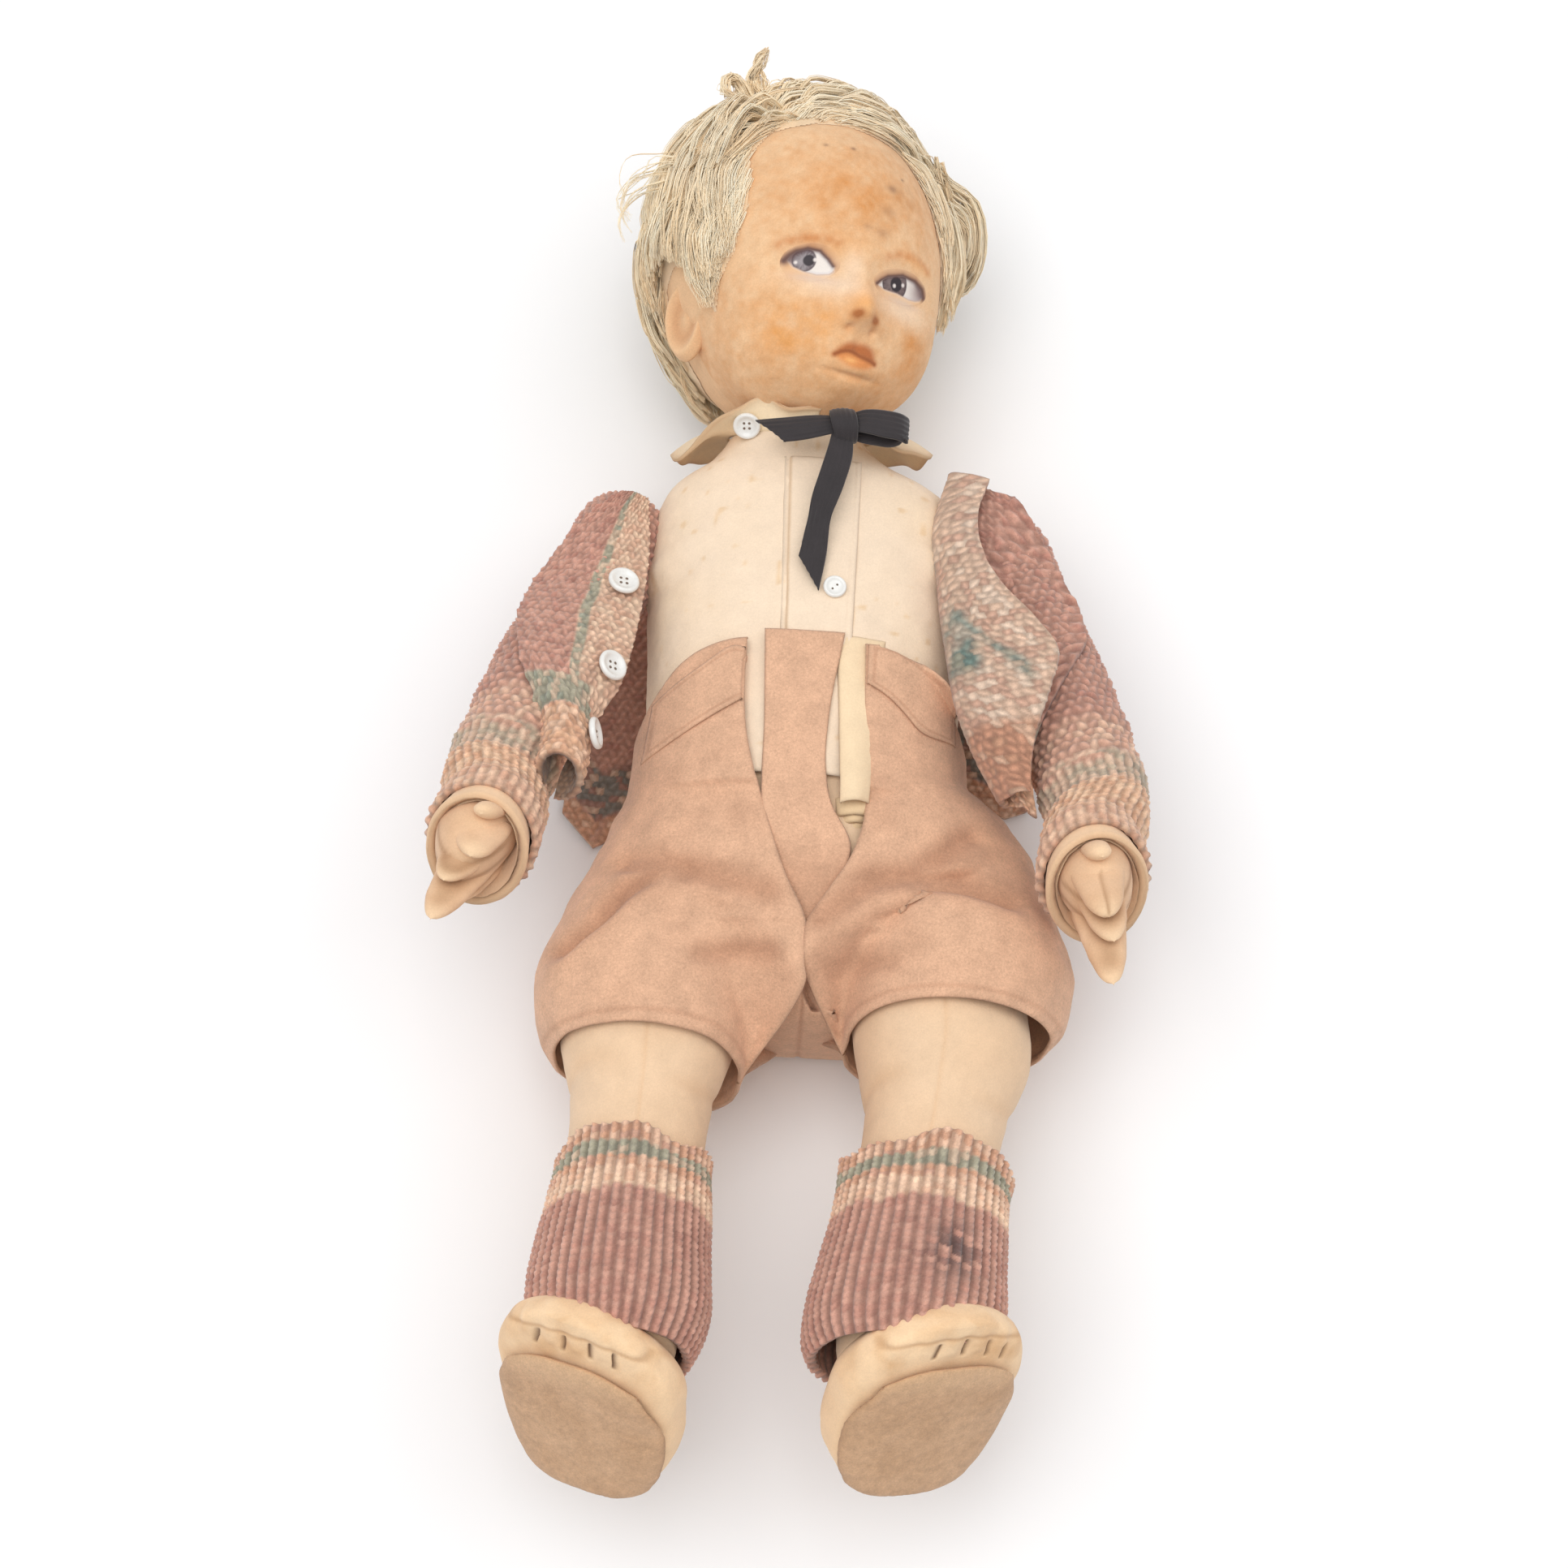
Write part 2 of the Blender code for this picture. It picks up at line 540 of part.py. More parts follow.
# Ribbon tie: knot, two ends and a long tail
def build_ribbon(placket):
    def knot_rings():
        rows = ((3.4, 2.0, 1.6), (4.2, 4.0, 3.0), (7, 4.6, 3.4), (9.8, 4.0, 3.0), (10.6, 2.0, 1.6))
        return [(Vector((x, 102.0, 66.0)) * MM, a * MM, b * MM, X_AXIS, Y_AXIS) for x, a, b in rows]
    stuffed("ribbon_knot", knot_rings(), "Ribbon", None)
    rows = ((-13, 2.9, 0.6), (-9, 3.2, 0.9), (-3, 3.0, 1.0), (1.5, 2.2, 1.3), (3.1, 1.6, 1.2))
    rings = [(Vector((x, 100.6 + (x + 13) * 0.06, 64.4)) * MM, a * MM, b * MM, X_AXIS, Y_AXIS) for x, a, b in rows]
    stuffed("ribbon_end_right", rings, "Ribbon", None)
    rows = ((11.1, 1.4, 1.0), (12.5, 2.2, 1.6), (17, 3.6, 2.0), (22, 3.4, 1.8), (24.5, 2.0, 1.0))
    rings = [(Vector((x, 102.4 + (x - 11) * 0.06, 65.6)) * MM, a * MM, b * MM, X_AXIS, Y_AXIS) for x, a, b in rows]
    stuffed("ribbon_loop_left", rings, "Ribbon", None)
    corners = [(-4.2, 56), (2.6, 59.5), (10.2, 89), (4.2, 89)]
    sheet("ribbon_tail", 3, 8, quad(corners, 95), 0.7 * MM, "Ribbon", None, placket)


# Shorts: waist and seat on the body, a leg on each leg, flaps and fly panel
def build_shorts(pivots):
    rows = ((40, 43.2, 29.9, 35.6), (20, 42.6, 29.8, 36.1), (5, 44.5, 32.6, 34.0), (-8, 48, 33.2, 34.4),
            (-35, 54, 33.2, 34.2), (-64, 56, 32.0, 33.4))
    rings = [(Vector((0, y, z)) * MM, (w + 1.9) * MM, (d + 1.3) * MM, -Y_AXIS, X_AXIS) for y, w, d, z in rows]
    waist = tube("shorts_waist", rings, 1.5 * MM, "Shorts")
    top = HIP.y + 26.5 * MM
    for side, sign in SIDES.items():
        wall = sign * 13.7 * MM
        low = (min(wall, sign * 0.1), -0.09, 8.8 * MM)
        high = (max(wall, sign * 0.1), top, 0.1)
        boolean(waist, box("leg room " + side, low, high))
    boolean(waist, box("floor under seat", (-0.1, -0.09, -0.05), (0.1, 0.06, 0.0)))
    boolean(waist, box("open fly", (11.2 * MM, -0.02, 0.045), (22.4 * MM, 0.06, 0.1)))

    for side, sign in SIDES.items():
        rows = ((-4.8, 22, 25.5, 30.5, 36), (-20, 26, 27.5, 31, 36.8), (-44, 33.5, 29, 30.6, 39.2), (-66, 37.5, 28, 29, 42.4))
        rings = [(Vector((sign * x, y, z)) * MM, w * MM, d * MM, -Y_AXIS, X_AXIS) for y, x, w, d, z in rows]
        leg = tube("shorts_leg_" + side, rings, 1.5 * MM, "Shorts", pivots["hip_" + side])
        wall = sign * 14.5 * MM
        boolean(leg, box("shorts middle " + side, (min(wall, -sign * 0.1), -0.12, -0.05), (max(wall, -sign * 0.1), 0.05, 0.12)))
        boolean(leg, box("seat room " + side, (-0.12, -0.12, -0.05), (0.12, 0.05, 9.4 * MM)))

    corners = [(-33, 5), (-12.2, 17.5), (-11.2, 36), (-33, 24)]
    sheet("pocket_flap_right", 6, 4, quad(corners, 95), 1.3 * MM, "Shorts", None, waist, 0.7 * MM)
    corners = [(23.6, 16), (36, 7), (37, 26), (23.6, 37)]
    sheet("pocket_flap_left", 5, 4, quad(corners, 95), 1.3 * MM, "Shorts", None, waist, 0.7 * MM)
    corners = [(-6.0, -40), (5.5, -42), (10.4, 38.4), (-10.0, 36.5)]
    sheet("fly_panel", 4, 10, quad(corners, 95), 1.3 * MM, "Shorts", None, waist, 0.7 * MM)
    return waist


# Cardigan: back, two fronts and buttons; sleeves and cuffs are on the arms
def build_cardigan():
    def back(u, v):
        x = mix(-1.0, 1.0, u)
        y = mix(22.0, 97.0, v)
        half = mix(45.0, 43.0, v)
        side = max(0.0, abs(x) * half - 33.0)
        return Vector((x * half, y, 0.5 + 0.022 * side * side)) * MM
    sheet("cardigan_back", 14, 6, back, 2.4 * MM, "Cardigan", None)

    def front_right(u, v):
        y = mix(3.0, 88.0, v)
        inner = mix(-49.0, -43.0, min(1.0, v / 0.8)) + 7.0 * max(0.0, v - 0.8) / 0.2
        outer = mix(-68.0, -60.0, v)
        x = mix(outer, inner, u)
        return Vector((x, y, mix(76.0, 54.0, v) - mix(9.0, 9.5, v) * u * u)) * MM
    sheet("cardigan_front_right", 5, 8, front_right, 2.2 * MM, "Cardigan", None)

    def front_left(u, v):
        y = mix(2.0, 86.0, v)
        swell = 4.0 * v * (1.0 - v)
        inner = mix(51.0, 43.5, min(1.0, v / 0.8)) - 9.5 * max(0.0, v - 0.8) / 0.2
        outer = mix(70.0, 58.0, v) + 4.0 * swell
        x = mix(inner, outer, u)
        return Vector((x, y, mix(76.5, 54.5, v) - mix(8.0, 8.9, v) * (1 - u) ** 2 + 1.0 * swell)) * MM
    sheet("cardigan_front_left", 5, 8, front_left, 2.2 * MM, "Cardigan", None)

    step = 0.02
    for index, (u, v) in enumerate(((0.62, 0.62), (0.62, 0.345), (0.60, 0.13))):
        here = front_right(u, v)
        normal = (front_right(u + step, v) - here).cross(front_right(u, v + step) - here).normalized()
        button("cardigan_button_%d" % (index + 1), here + normal * 3.0 * MM, normal, 4.2 * MM, 2.0 * MM, "Cardigan", None)


def build():
    clear_scene()
    pivots = {"neck": pivot("neck_pivot", NECK)}
    for side, sign in SIDES.items():
        pivots["shoulder_" + side] = pivot("shoulder_pivot_" + side, Vector((SHOULDER.x * sign, SHOULDER.y, SHOULDER.z)))
        pivots["hip_" + side] = pivot("hip_pivot_" + side, Vector((HIP_FACE_X * sign, HIP.y, HIP.z)))
    torso = build_torso()
    build_joint_hardware(pivots, torso)
    build_head(pivots["neck"])
    for side, sign in SIDES.items():
        build_arm(side, sign, pivots["shoulder_" + side])
        build_leg(side, sign, pivots["hip_" + side])
    shirt, placket = build_shirt()
    build_ribbon(placket)
    build_shorts(pivots)
    build_cardigan()


build()
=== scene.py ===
# Felt doll on its back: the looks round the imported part.
# Lengths below are millimetres in the part's own frame; piece() turns them into metres.
import itertools
import math

import bpy
import numpy as np
from mathutils import Matrix, Vector
from mathutils.bvhtree import BVHTree


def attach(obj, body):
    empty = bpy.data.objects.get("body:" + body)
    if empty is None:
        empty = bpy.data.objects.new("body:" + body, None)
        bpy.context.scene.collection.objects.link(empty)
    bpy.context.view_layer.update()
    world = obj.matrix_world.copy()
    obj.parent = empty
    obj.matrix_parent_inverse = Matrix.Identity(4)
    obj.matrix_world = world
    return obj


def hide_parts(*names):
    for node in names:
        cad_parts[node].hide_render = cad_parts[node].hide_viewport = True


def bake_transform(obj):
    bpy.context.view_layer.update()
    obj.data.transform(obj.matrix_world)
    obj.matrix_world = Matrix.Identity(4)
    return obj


MM = 0.001
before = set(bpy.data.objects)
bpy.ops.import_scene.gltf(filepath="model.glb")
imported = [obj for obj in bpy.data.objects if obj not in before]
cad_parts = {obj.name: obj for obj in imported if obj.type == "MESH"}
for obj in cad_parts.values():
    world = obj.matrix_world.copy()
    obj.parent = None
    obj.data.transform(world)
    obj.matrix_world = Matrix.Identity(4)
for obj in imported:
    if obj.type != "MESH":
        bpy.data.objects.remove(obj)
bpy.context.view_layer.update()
rng = np.random.default_rng(11)
SIDES = {"left": 1.0, "right": -1.0}


# Numbers
def lin(r, g, b):
    """Linear colour from the usual 0 to 255 values."""
    c = np.array([r, g, b], float) / 255.0
    return np.where(c <= 0.04045, c / 12.92, ((c + 0.055) / 1.055) ** 2.4)


def unit(a):
    """Vectors brought to length 1."""
    a = np.asarray(a, float)
    return a / np.maximum(np.linalg.norm(a, axis=-1, keepdims=True), 1e-12)


def step(x, a, b):
    """0 at a, 1 at b, smooth between."""
    t = np.clip((np.asarray(x, float) - a) / (b - a), 0.0, 1.0)
    return t * t * (3.0 - 2.0 * t)


def mix(a, b, t):
    """a where t is 0, b where t is 1."""
    return a + (b - a) * t


def mix_at(a, b, share):
    """mix() with one share for each place."""
    return mix(a, b, np.asarray(share)[..., None])


def bell(x, width):
    """1 at 0, falling off to both sides over the width."""
    return np.exp(-(x / width) ** 2)


def joined(*parts):
    """Arrays side by side along a new last axis."""
    return np.stack(parts, -1)


def full_turn(count):
    """Evenly spaced angles of one whole turn."""
    return np.linspace(0, 2 * np.pi, count, endpoint=False)


def spline(xs, ys, x):
    """Smooth curve through the points (xs, ys), at x."""
    xs = np.asarray(xs, float)
    ys = np.asarray(ys, float)
    if xs[0] > xs[-1]:
        xs, ys = xs[::-1], ys[::-1]
    slope = np.gradient(ys, xs, axis=0)
    x = np.clip(np.asarray(x, float), xs[0], xs[-1])
    i = np.clip(np.searchsorted(xs, x) - 1, 0, len(xs) - 2)
    h = xs[i + 1] - xs[i]
    t = (x - xs[i]) / h
    if ys.ndim > 1:
        t, h = t[..., None], h[..., None]
    a = (1 + 2 * t) * (1 - t) ** 2 * ys[i] + t * (1 - t) ** 2 * h * slope[i]
    b = t * t * (3 - 2 * t) * ys[i + 1] + t * t * (t - 1) * h * slope[i + 1]
    return a + b


def table(rows, x):
    """Columns of a table at x; its first column says where each row stands."""
    return np.moveaxis(spline(rows[:, 0], rows[:, 1:], x), -1, 0)


def along(points, count):
    """Evenly spaced points on a smooth curve through the points."""
    points = np.asarray(points, float)
    mark = np.r_[0, np.cumsum(np.linalg.norm(np.diff(points, axis=0), axis=1))]
    fine = spline(mark, points, np.linspace(0, mark[-1], 400))
    run = np.r_[0, np.cumsum(np.linalg.norm(np.diff(fine, axis=0), axis=1))]
    want = np.linspace(0, run[-1], count)
    return np.stack([np.interp(want, run, fine[:, k]) for k in range(fine.shape[1])], 1)


def cell_value(i, seed):
    """Fixed pseudo random value from 0 to 1 for each whole numbered cell."""
    i = np.asarray(i, np.int64)
    n = (i[..., 0] * 73856093) ^ (i[..., 1] * 19349663) ^ (i[..., 2] * 83492791) ^ (seed * 2654435)
    n = ((n ^ (n >> 13)) * 1274126177) & 0x7FFFFFFF
    n = ((n ^ (n >> 15)) * 668265263) & 0x7FFFFFFF
    return ((n ^ (n >> 16)) & 0xFFFF) / 65535.0


def noise(p, size, seed=0, octaves=2):
    """Smooth noise from -1 to 1, with lumps of about the given size."""
    p = np.asarray(p, float)
    total, weight, sum_w = 0.0, 1.0, 0.0
    for k in range(octaves):
        q = p / size * 2.0 ** k
        i = np.floor(q).astype(np.int64)
        f = q - i
        f = f * f * (3 - 2 * f)
        value = 0.0
        for corner in itertools.product((0, 1), repeat=3):
            w = np.prod(np.where(corner, f, 1 - f), axis=-1)
            value = value + w * cell_value(i + np.array(corner), seed + 17 * k)
        total = total + weight * (2 * value - 1)
        sum_w += weight
        weight *= 0.5
    return total / sum_w


def inside(points, corners):
    """Signed distance of flat points to a closed outline, positive inside."""
    corners = np.asarray(corners, float)
    best = np.full(len(points), 1e9)
    crossing = np.zeros(len(points), bool)
    for a, b in zip(corners, np.roll(corners, -1, axis=0)):
        ab = b - a
        t = np.clip(((points - a) @ ab) / max(ab @ ab, 1e-9), 0, 1)
        best = np.minimum(best, np.linalg.norm(points - a - t[:, None] * ab, axis=1))
        over = (a[1] > points[:, 1]) != (b[1] > points[:, 1])
        x = a[0] + (points[:, 1] - a[1]) / (b[1] - a[1] + 1e-12) * ab[0]
        crossing ^= over & (points[:, 0] < x)
    return np.where(crossing, best, -best)


def to_line(points, line):
    """Distance of points to an open line of points."""
    line = np.asarray(line, float)
    best = np.full(points.shape[:-1], 1e9)
    for a, b in zip(line, line[1:]):
        ab = b - a
        t = np.clip(((points - a) @ ab) / max(ab @ ab, 1e-9), 0, 1)
        best = np.minimum(best, np.linalg.norm(points - a - t[..., None] * ab, axis=-1))
    return best


# Meshes
def quads(rows, cols, wrap=False, first=0, flip=False):
    """Faces of a grid of points, numbered row by row."""
    r, c = np.meshgrid(np.arange(rows - 1), np.arange(cols if wrap else cols - 1), indexing="ij")
    n = (c + 1) % cols
    f = joined(r * cols + c, r * cols + n, (r + 1) * cols + n, (r + 1) * cols + c).reshape(-1, 4)
    return (f[:, ::-1] if flip else f) + first


def grid_normals(g, wrap=False):
    """Direction out of a grid at each of its points."""
    du = np.roll(g, -1, 1) - np.roll(g, 1, 1) if wrap else np.gradient(g, axis=1)
    return unit(np.cross(du, np.gradient(g, axis=0)))


def outward(rings):
    """Direction of each point away from the middle of its ring."""
    return unit(rings - rings.mean(1, keepdims=True))


def piece(name, verts, faces, mat, body, paint, rest=None):
    """Object of the mesh, with its painted colour and its rest places for the material."""
    mesh = bpy.data.meshes.new(name)
    mesh.from_pydata((np.asarray(verts) * MM).tolist(), [], [list(map(int, f)) for f in faces])
    mesh.update()
    mesh.shade_smooth()
    count = len(mesh.vertices)
    colour = np.ones((count, 4), np.float32)
    colour[:, :3] = np.broadcast_to(np.asarray(paint, np.float32), (count, 3))
    layer = mesh.attributes.new("paint", "FLOAT_COLOR", "POINT")
    layer.data.foreach_set("color", colour.ravel())
    places = np.asarray(verts if rest is None else rest, np.float32)
    layer = mesh.attributes.new("rest", "FLOAT_VECTOR", "POINT")
    layer.data.foreach_set("vector", places.ravel())
    mesh.materials.append(mat)
    obj = bpy.data.objects.new(name, mesh)
    bpy.context.scene.collection.objects.link(obj)
    if body is not None:
        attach(obj, body)
    return obj


def shell(grid, thick, wrap=False, flip=False):
    """Closed cloth from a grid: its outer face, an inner face and rims. Gives points and faces."""
    rows, cols = grid.shape[:2]
    n = grid_normals(grid, wrap) * (-1.0 if flip else 1.0)
    inner = grid - n * np.asarray(thick)[..., None]
    verts = np.concatenate([grid.reshape(-1, 3), inner.reshape(-1, 3)])
    count = rows * cols
    faces = [quads(rows, cols, wrap, 0, flip), quads(rows, cols, wrap, count, not flip)]
    ids = np.arange(count).reshape(rows, cols)
    ends = [(ids[0], True), (ids[-1], False)]
    if not wrap:
        ends += [(ids[:, 0], False), (ids[:, -1], True)]
    for edge, way in ends:
        a, b = (edge, np.roll(edge, -1)) if wrap else (edge[:-1], edge[1:])
        rim = joined(a, b, b + count, a + count)
        faces.append(rim[:, ::-1] if way != flip else rim)
    return verts, np.concatenate(faces)


def ring_grid(centre, half_w, half_h, across, up, around):
    """Grid of rings; angle 0 lies on across and a quarter turn on up."""
    t = full_turn(around)
    c, s = np.cos(t)[None, :, None], np.sin(t)[None, :, None]
    half_w = np.asarray(half_w)[:, None, None]
    half_h = np.asarray(half_h)[:, None, None]
    return centre[:, None, :] + across * half_w * c + up * half_h * s


def capped(grid):
    """Closed body from a wrapped grid of rings, with a pole at each end."""
    rows, cols = grid.shape[:2]
    first = grid[0].mean(0) * 1.6 - grid[1].mean(0) * 0.6
    last = grid[-1].mean(0) * 1.6 - grid[-2].mean(0) * 0.6
    verts = np.concatenate([grid.reshape(-1, 3), first[None], last[None]])
    faces = quads(rows, cols, True).tolist()
    top = (rows - 1) * cols
    for c in range(cols):
        d = (c + 1) % cols
        faces.append([d, c, rows * cols])
        faces.append([top + c, top + d, rows * cols + 1])
    return verts, faces


def with_poles(values):
    """Values of a grid of rings, flat, with those of its two poles added."""
    values = values.reshape(-1, 3)
    return np.concatenate([values, values[:1], values[-1:]])


def merged(parts):
    """One mesh from several."""
    verts, faces, first = [], [], 0
    for v, f in parts:
        verts.append(v)
        faces += [[i + first for i in face] for face in f]
        first += len(v)
    return np.concatenate(verts), faces


# Materials
def new_material(name):
    """Material with its nodes, its links and its shader."""
    mat = bpy.data.materials.new(name)
    mat.use_nodes = True
    nodes = mat.node_tree.nodes
    return mat, nodes, mat.node_tree.links, nodes["Principled BSDF"]


def add(nodes, kind, **values):
    """New node with the given settings and input values."""
    node = nodes.new(kind)
    for key, value in values.items():
        if hasattr(node, key):
            setattr(node, key, value)
        else:
            node.inputs[key.replace("_", " ")].default_value = value
    return node


def ranged(nodes, links, value, low, high, out_low, out_high):
    """Value carried from one range to another."""
    node = nodes.new("ShaderNodeMapRange")
    links.new(value, node.inputs[0])
    for k, v in enumerate((low, high, out_low, out_high)):
        node.inputs[k + 1].default_value = v
    return node.outputs[0]


def fabric(name, mottle=0.08, mottle_size=7.0, fibre=0.10, fibre_size=0.55, depth=0.12, rough=0.95,
           sheen=0.15):
    """Cloth whose colour is painted on the mesh, with mottling and a fibre surface from noise."""
    mat, nodes, links, shader = new_material(name)
    paint = add(nodes, "ShaderNodeAttribute", attribute_name="paint")
    rest = add(nodes, "ShaderNodeAttribute", attribute_name="rest")
    wide = add(nodes, "ShaderNodeTexNoise", Scale=1.0 / mottle_size, Detail=4.0, Roughness=0.65)
    links.new(rest.outputs["Vector"], wide.inputs["Vector"])
    fine = add(nodes, "ShaderNodeTexNoise", Scale=1.0 / fibre_size, Detail=5.0, Roughness=0.7, Distortion=0.6)
    links.new(rest.outputs["Vector"], fine.inputs["Vector"])
    a = ranged(nodes, links, wide.outputs["Fac"], 0.3, 0.7, 1.0 - mottle, 1.0 + mottle)
    b = ranged(nodes, links, fine.outputs["Fac"], 0.3, 0.7, 1.0 - fibre, 1.0 + fibre)
    both = add(nodes, "ShaderNodeMath", operation="MULTIPLY")
    links.new(a, both.inputs[0])
    links.new(b, both.inputs[1])
    tone = add(nodes, "ShaderNodeVectorMath", operation="SCALE")
    links.new(paint.outputs["Color"], tone.inputs[0])
    links.new(both.outputs[0], tone.inputs["Scale"])
    links.new(tone.outputs[0], shader.inputs["Base Color"])
    bump = add(nodes, "ShaderNodeBump", Strength=1.0, Distance=depth * MM)
    links.new(fine.outputs["Fac"], bump.inputs["Height"])
    links.new(bump.outputs[0], shader.inputs["Normal"])
    shader.inputs["Roughness"].default_value = rough
    shader.inputs["Specular IOR Level"].default_value = 0.2
    shader.inputs["Sheen Weight"].default_value = sheen
    shader.inputs["Sheen Roughness"].default_value = 0.6
    return mat


def polished(name, colour, rough, vary, size, metallic=0.0, coat=0.0):
    """Hard smooth material with cloudy colour."""
    mat, nodes, links, shader = new_material(name)
    rest = add(nodes, "ShaderNodeTexCoord")
    cloud = add(nodes, "ShaderNodeTexNoise", Scale=1.0 / (size * MM), Detail=3.0, Distortion=1.5)
    links.new(rest.outputs["Object"], cloud.inputs["Vector"])
    ramp = add(nodes, "ShaderNodeValToRGB")
    ramp.color_ramp.elements[0].color = (*(np.array(colour) * (1 - vary)), 1)
    ramp.color_ramp.elements[1].color = (*np.minimum(np.array(colour) * (1 + vary), 1.0), 1)
    links.new(cloud.outputs["Fac"], ramp.inputs["Fac"])
    links.new(ramp.outputs["Color"], shader.inputs["Base Color"])
    r = ranged(nodes, links, cloud.outputs["Fac"], 0.2, 0.8, rough * 0.8, rough * 1.25)
    links.new(r, shader.inputs["Roughness"])
    shader.inputs["Metallic"].default_value = metallic
    shader.inputs["Coat Weight"].default_value = coat
    return mat


FELT_BODY = fabric("body_felt", mottle=0.05, fibre=0.07, fibre_size=0.5, depth=0.10)
FELT_FACE = fabric("face_felt", mottle=0.05, mottle_size=4.0, fibre=0.08, fibre_size=0.5, depth=0.08,
                   sheen=0.1)
EYE_PAINT = fabric("eye_paint", mottle=0.02, fibre=0.04, fibre_size=0.3, depth=0.03, rough=0.45, sheen=0.0)
HAIR = fabric("mohair", mottle=0.08, mottle_size=5.0, fibre=0.10, fibre_size=0.4, depth=0.03, rough=0.6,
              sheen=0.3)
FELT_SHIRT = fabric("shirt_felt", mottle=0.04, fibre=0.06, fibre_size=0.55, depth=0.11)
RIBBON = fabric("ribbon_weave", mottle=0.15, fibre=0.25, fibre_size=0.25, depth=0.05, rough=0.55, sheen=0.25)
FELT_SHORTS = fabric("shorts_felt", mottle=0.11, mottle_size=6.0, fibre=0.19, fibre_size=0.6, depth=0.16)
FELT_SOLE = fabric("sole_felt", mottle=0.08, mottle_size=3.0, fibre=0.16, fibre_size=0.5, depth=0.14)
KNIT = fabric("knit_yarn", mottle=0.06, mottle_size=5.0, fibre=0.18, fibre_size=0.35, depth=0.10, sheen=0.3)
THREAD = fabric("thread", mottle=0.1, fibre=0.2, fibre_size=0.2, depth=0.03, sheen=0.1)
BUTTON = polished("button_pearl", (0.80, 0.79, 0.76), 0.28, 0.08, 3.0, coat=0.3)
FIBRE = polished("pressed_fibre", (0.30, 0.22, 0.15), 0.8, 0.25, 1.5)
STEEL = polished("pin_steel", (0.55, 0.55, 0.55), 0.35, 0.12, 0.8, metallic=1.0)

# Colours
FACE_C = lin(232, 192, 150)
SKIN = lin(231, 200, 167)
SKIN_DEEP = lin(224, 184, 144)
SHIRT_C = lin(239, 217, 192)
SHORTS_C = lin(217, 173, 142)
SHORTS_DARK = lin(172, 122, 94)
MAUVE = lin(190, 145, 127)
MAUVE_MID = lin(190, 142, 124)
MAUVE_LOW = lin(168, 116, 102)
MAUVE_DARK = lin(150, 101, 89)
BEIGE = lin(220, 186, 160)
RUST = lin(194, 144, 114)
GREEN = lin(152, 150, 130)
TEAL = lin(70, 122, 120)
HAIR_C = lin(255, 235, 201)
HAIR_PALE = lin(255, 246, 222)
HAIR_DARK = lin(245, 215, 172)
BLACK = lin(44, 38, 40)

# Axes of the part's frame and thickness of the cloth
X_AXIS = np.array([1.0, 0, 0])
Y_AXIS = np.array([0, 1.0, 0])
Z_AXIS = np.array([0, 0, 1.0])
SHIRT_THICK = 1.2
PLACKET_THICK = 1.1
CUFF_THICK = 3.0
SHORTS_THICK = 1.4
FLAP_THICK = 1.2
FLY_THICK = 1.3
SOLE_THICK = 1.3
RIBBON_THICK = 0.5
SOCK_THICK = 2.0
SLEEVE_THICK = 1.9

# The joint hardware stays as the solids are
for node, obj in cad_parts.items():
    if "_disc" in node or "_pin" in node:
        obj.data.materials.clear()
        obj.data.materials.append(FIBRE if "_disc" in node else STEEL)

# Head
NECK = np.array([-5.0, 113.5, 38.5])
NECK_UP = unit([-0.041, 0.976, 0.2145])
HEAD_RISE = 47.0
HEAD_YAW = math.radians(23.7)


def head_axes():
    """Axes of the head's own frame, turned about the neck, as columns."""
    front = unit(Z_AXIS - NECK_UP * NECK_UP[2])
    front = np.array(Matrix.Rotation(HEAD_YAW, 3, Vector(NECK_UP))) @ front
    return np.stack([np.cross(NECK_UP, front), NECK_UP, front], 1)


HEAD_AXES = head_axes()
HEAD_AT = NECK + NECK_UP * HEAD_RISE


def head_place(p):
    """From the head's own frame, x left, y crown, z face, to the part's frame."""
    return p @ HEAD_AXES.T + HEAD_AT


def lump(d, aim, width):
    """Soft lump of the head round a direction."""
    return bell(np.linalg.norm(d - unit(aim), axis=-1), width)


def spot(p, x, y, sx, sy, tilt=0.0):
    """Soft spot on the face round a point of the head's frame, front side only."""
    c, s = math.cos(tilt), math.sin(tilt)
    u = (p[..., 0] - x) * c + (p[..., 1] - y) * s
    v = -(p[..., 0] - x) * s + (p[..., 1] - y) * c
    return np.exp(-(u / sx) ** 2 - (v / sy) ** 2) * (p[..., 2] > 0)


def spots(p, rows):
    """Sum of soft spots, each given as its strength, x, y, width, height and tilt."""
    return sum(strength * spot(p, *row) for strength, *row in rows)


# Face, in the head's own frame
FACE_TILT = math.radians(-7.0)
HEAD_SIZE = np.array([40.5, 47.5, 43.0])
EYES = {"right": (-16.2, -8.2), "left": (11.8, -11.5)}
MOUTH = (-0.9, -32.6)
NOSE_FORM = [(1.5, -1.6, -10.5, 3.0, 6.5), (5.4, -1.2, -18.4, 3.8, 4.2), (1.2, -5.2, -20.8, 2.6, 2.4),
             (1.2, 4.0, -21.6, 2.6, 2.4), (-1.3, -3.7, -22.8, 1.1, 1.0), (-1.3, 2.6, -23.6, 1.1, 1.0),
             (-0.6, -0.8, -27.0, 1.3, 2.2)]
# Spots about an eye's and the mouth's middle: strength, up, width, height
EYE_FORM = [(-3.0, -0.4, 7.6, 5.0), (1.5, 0.0, 5.4, 3.4), (0.6, 6.5, 9.0, 3.0)]
MOUTH_FORM = [(1.5, 0.0, 8.0, 6.5), (0.9, 1.9, 5.2, 1.2), (0.4, -2.0, 4.2, 1.9), (-1.1, 0.1, 5.8, 0.6)]


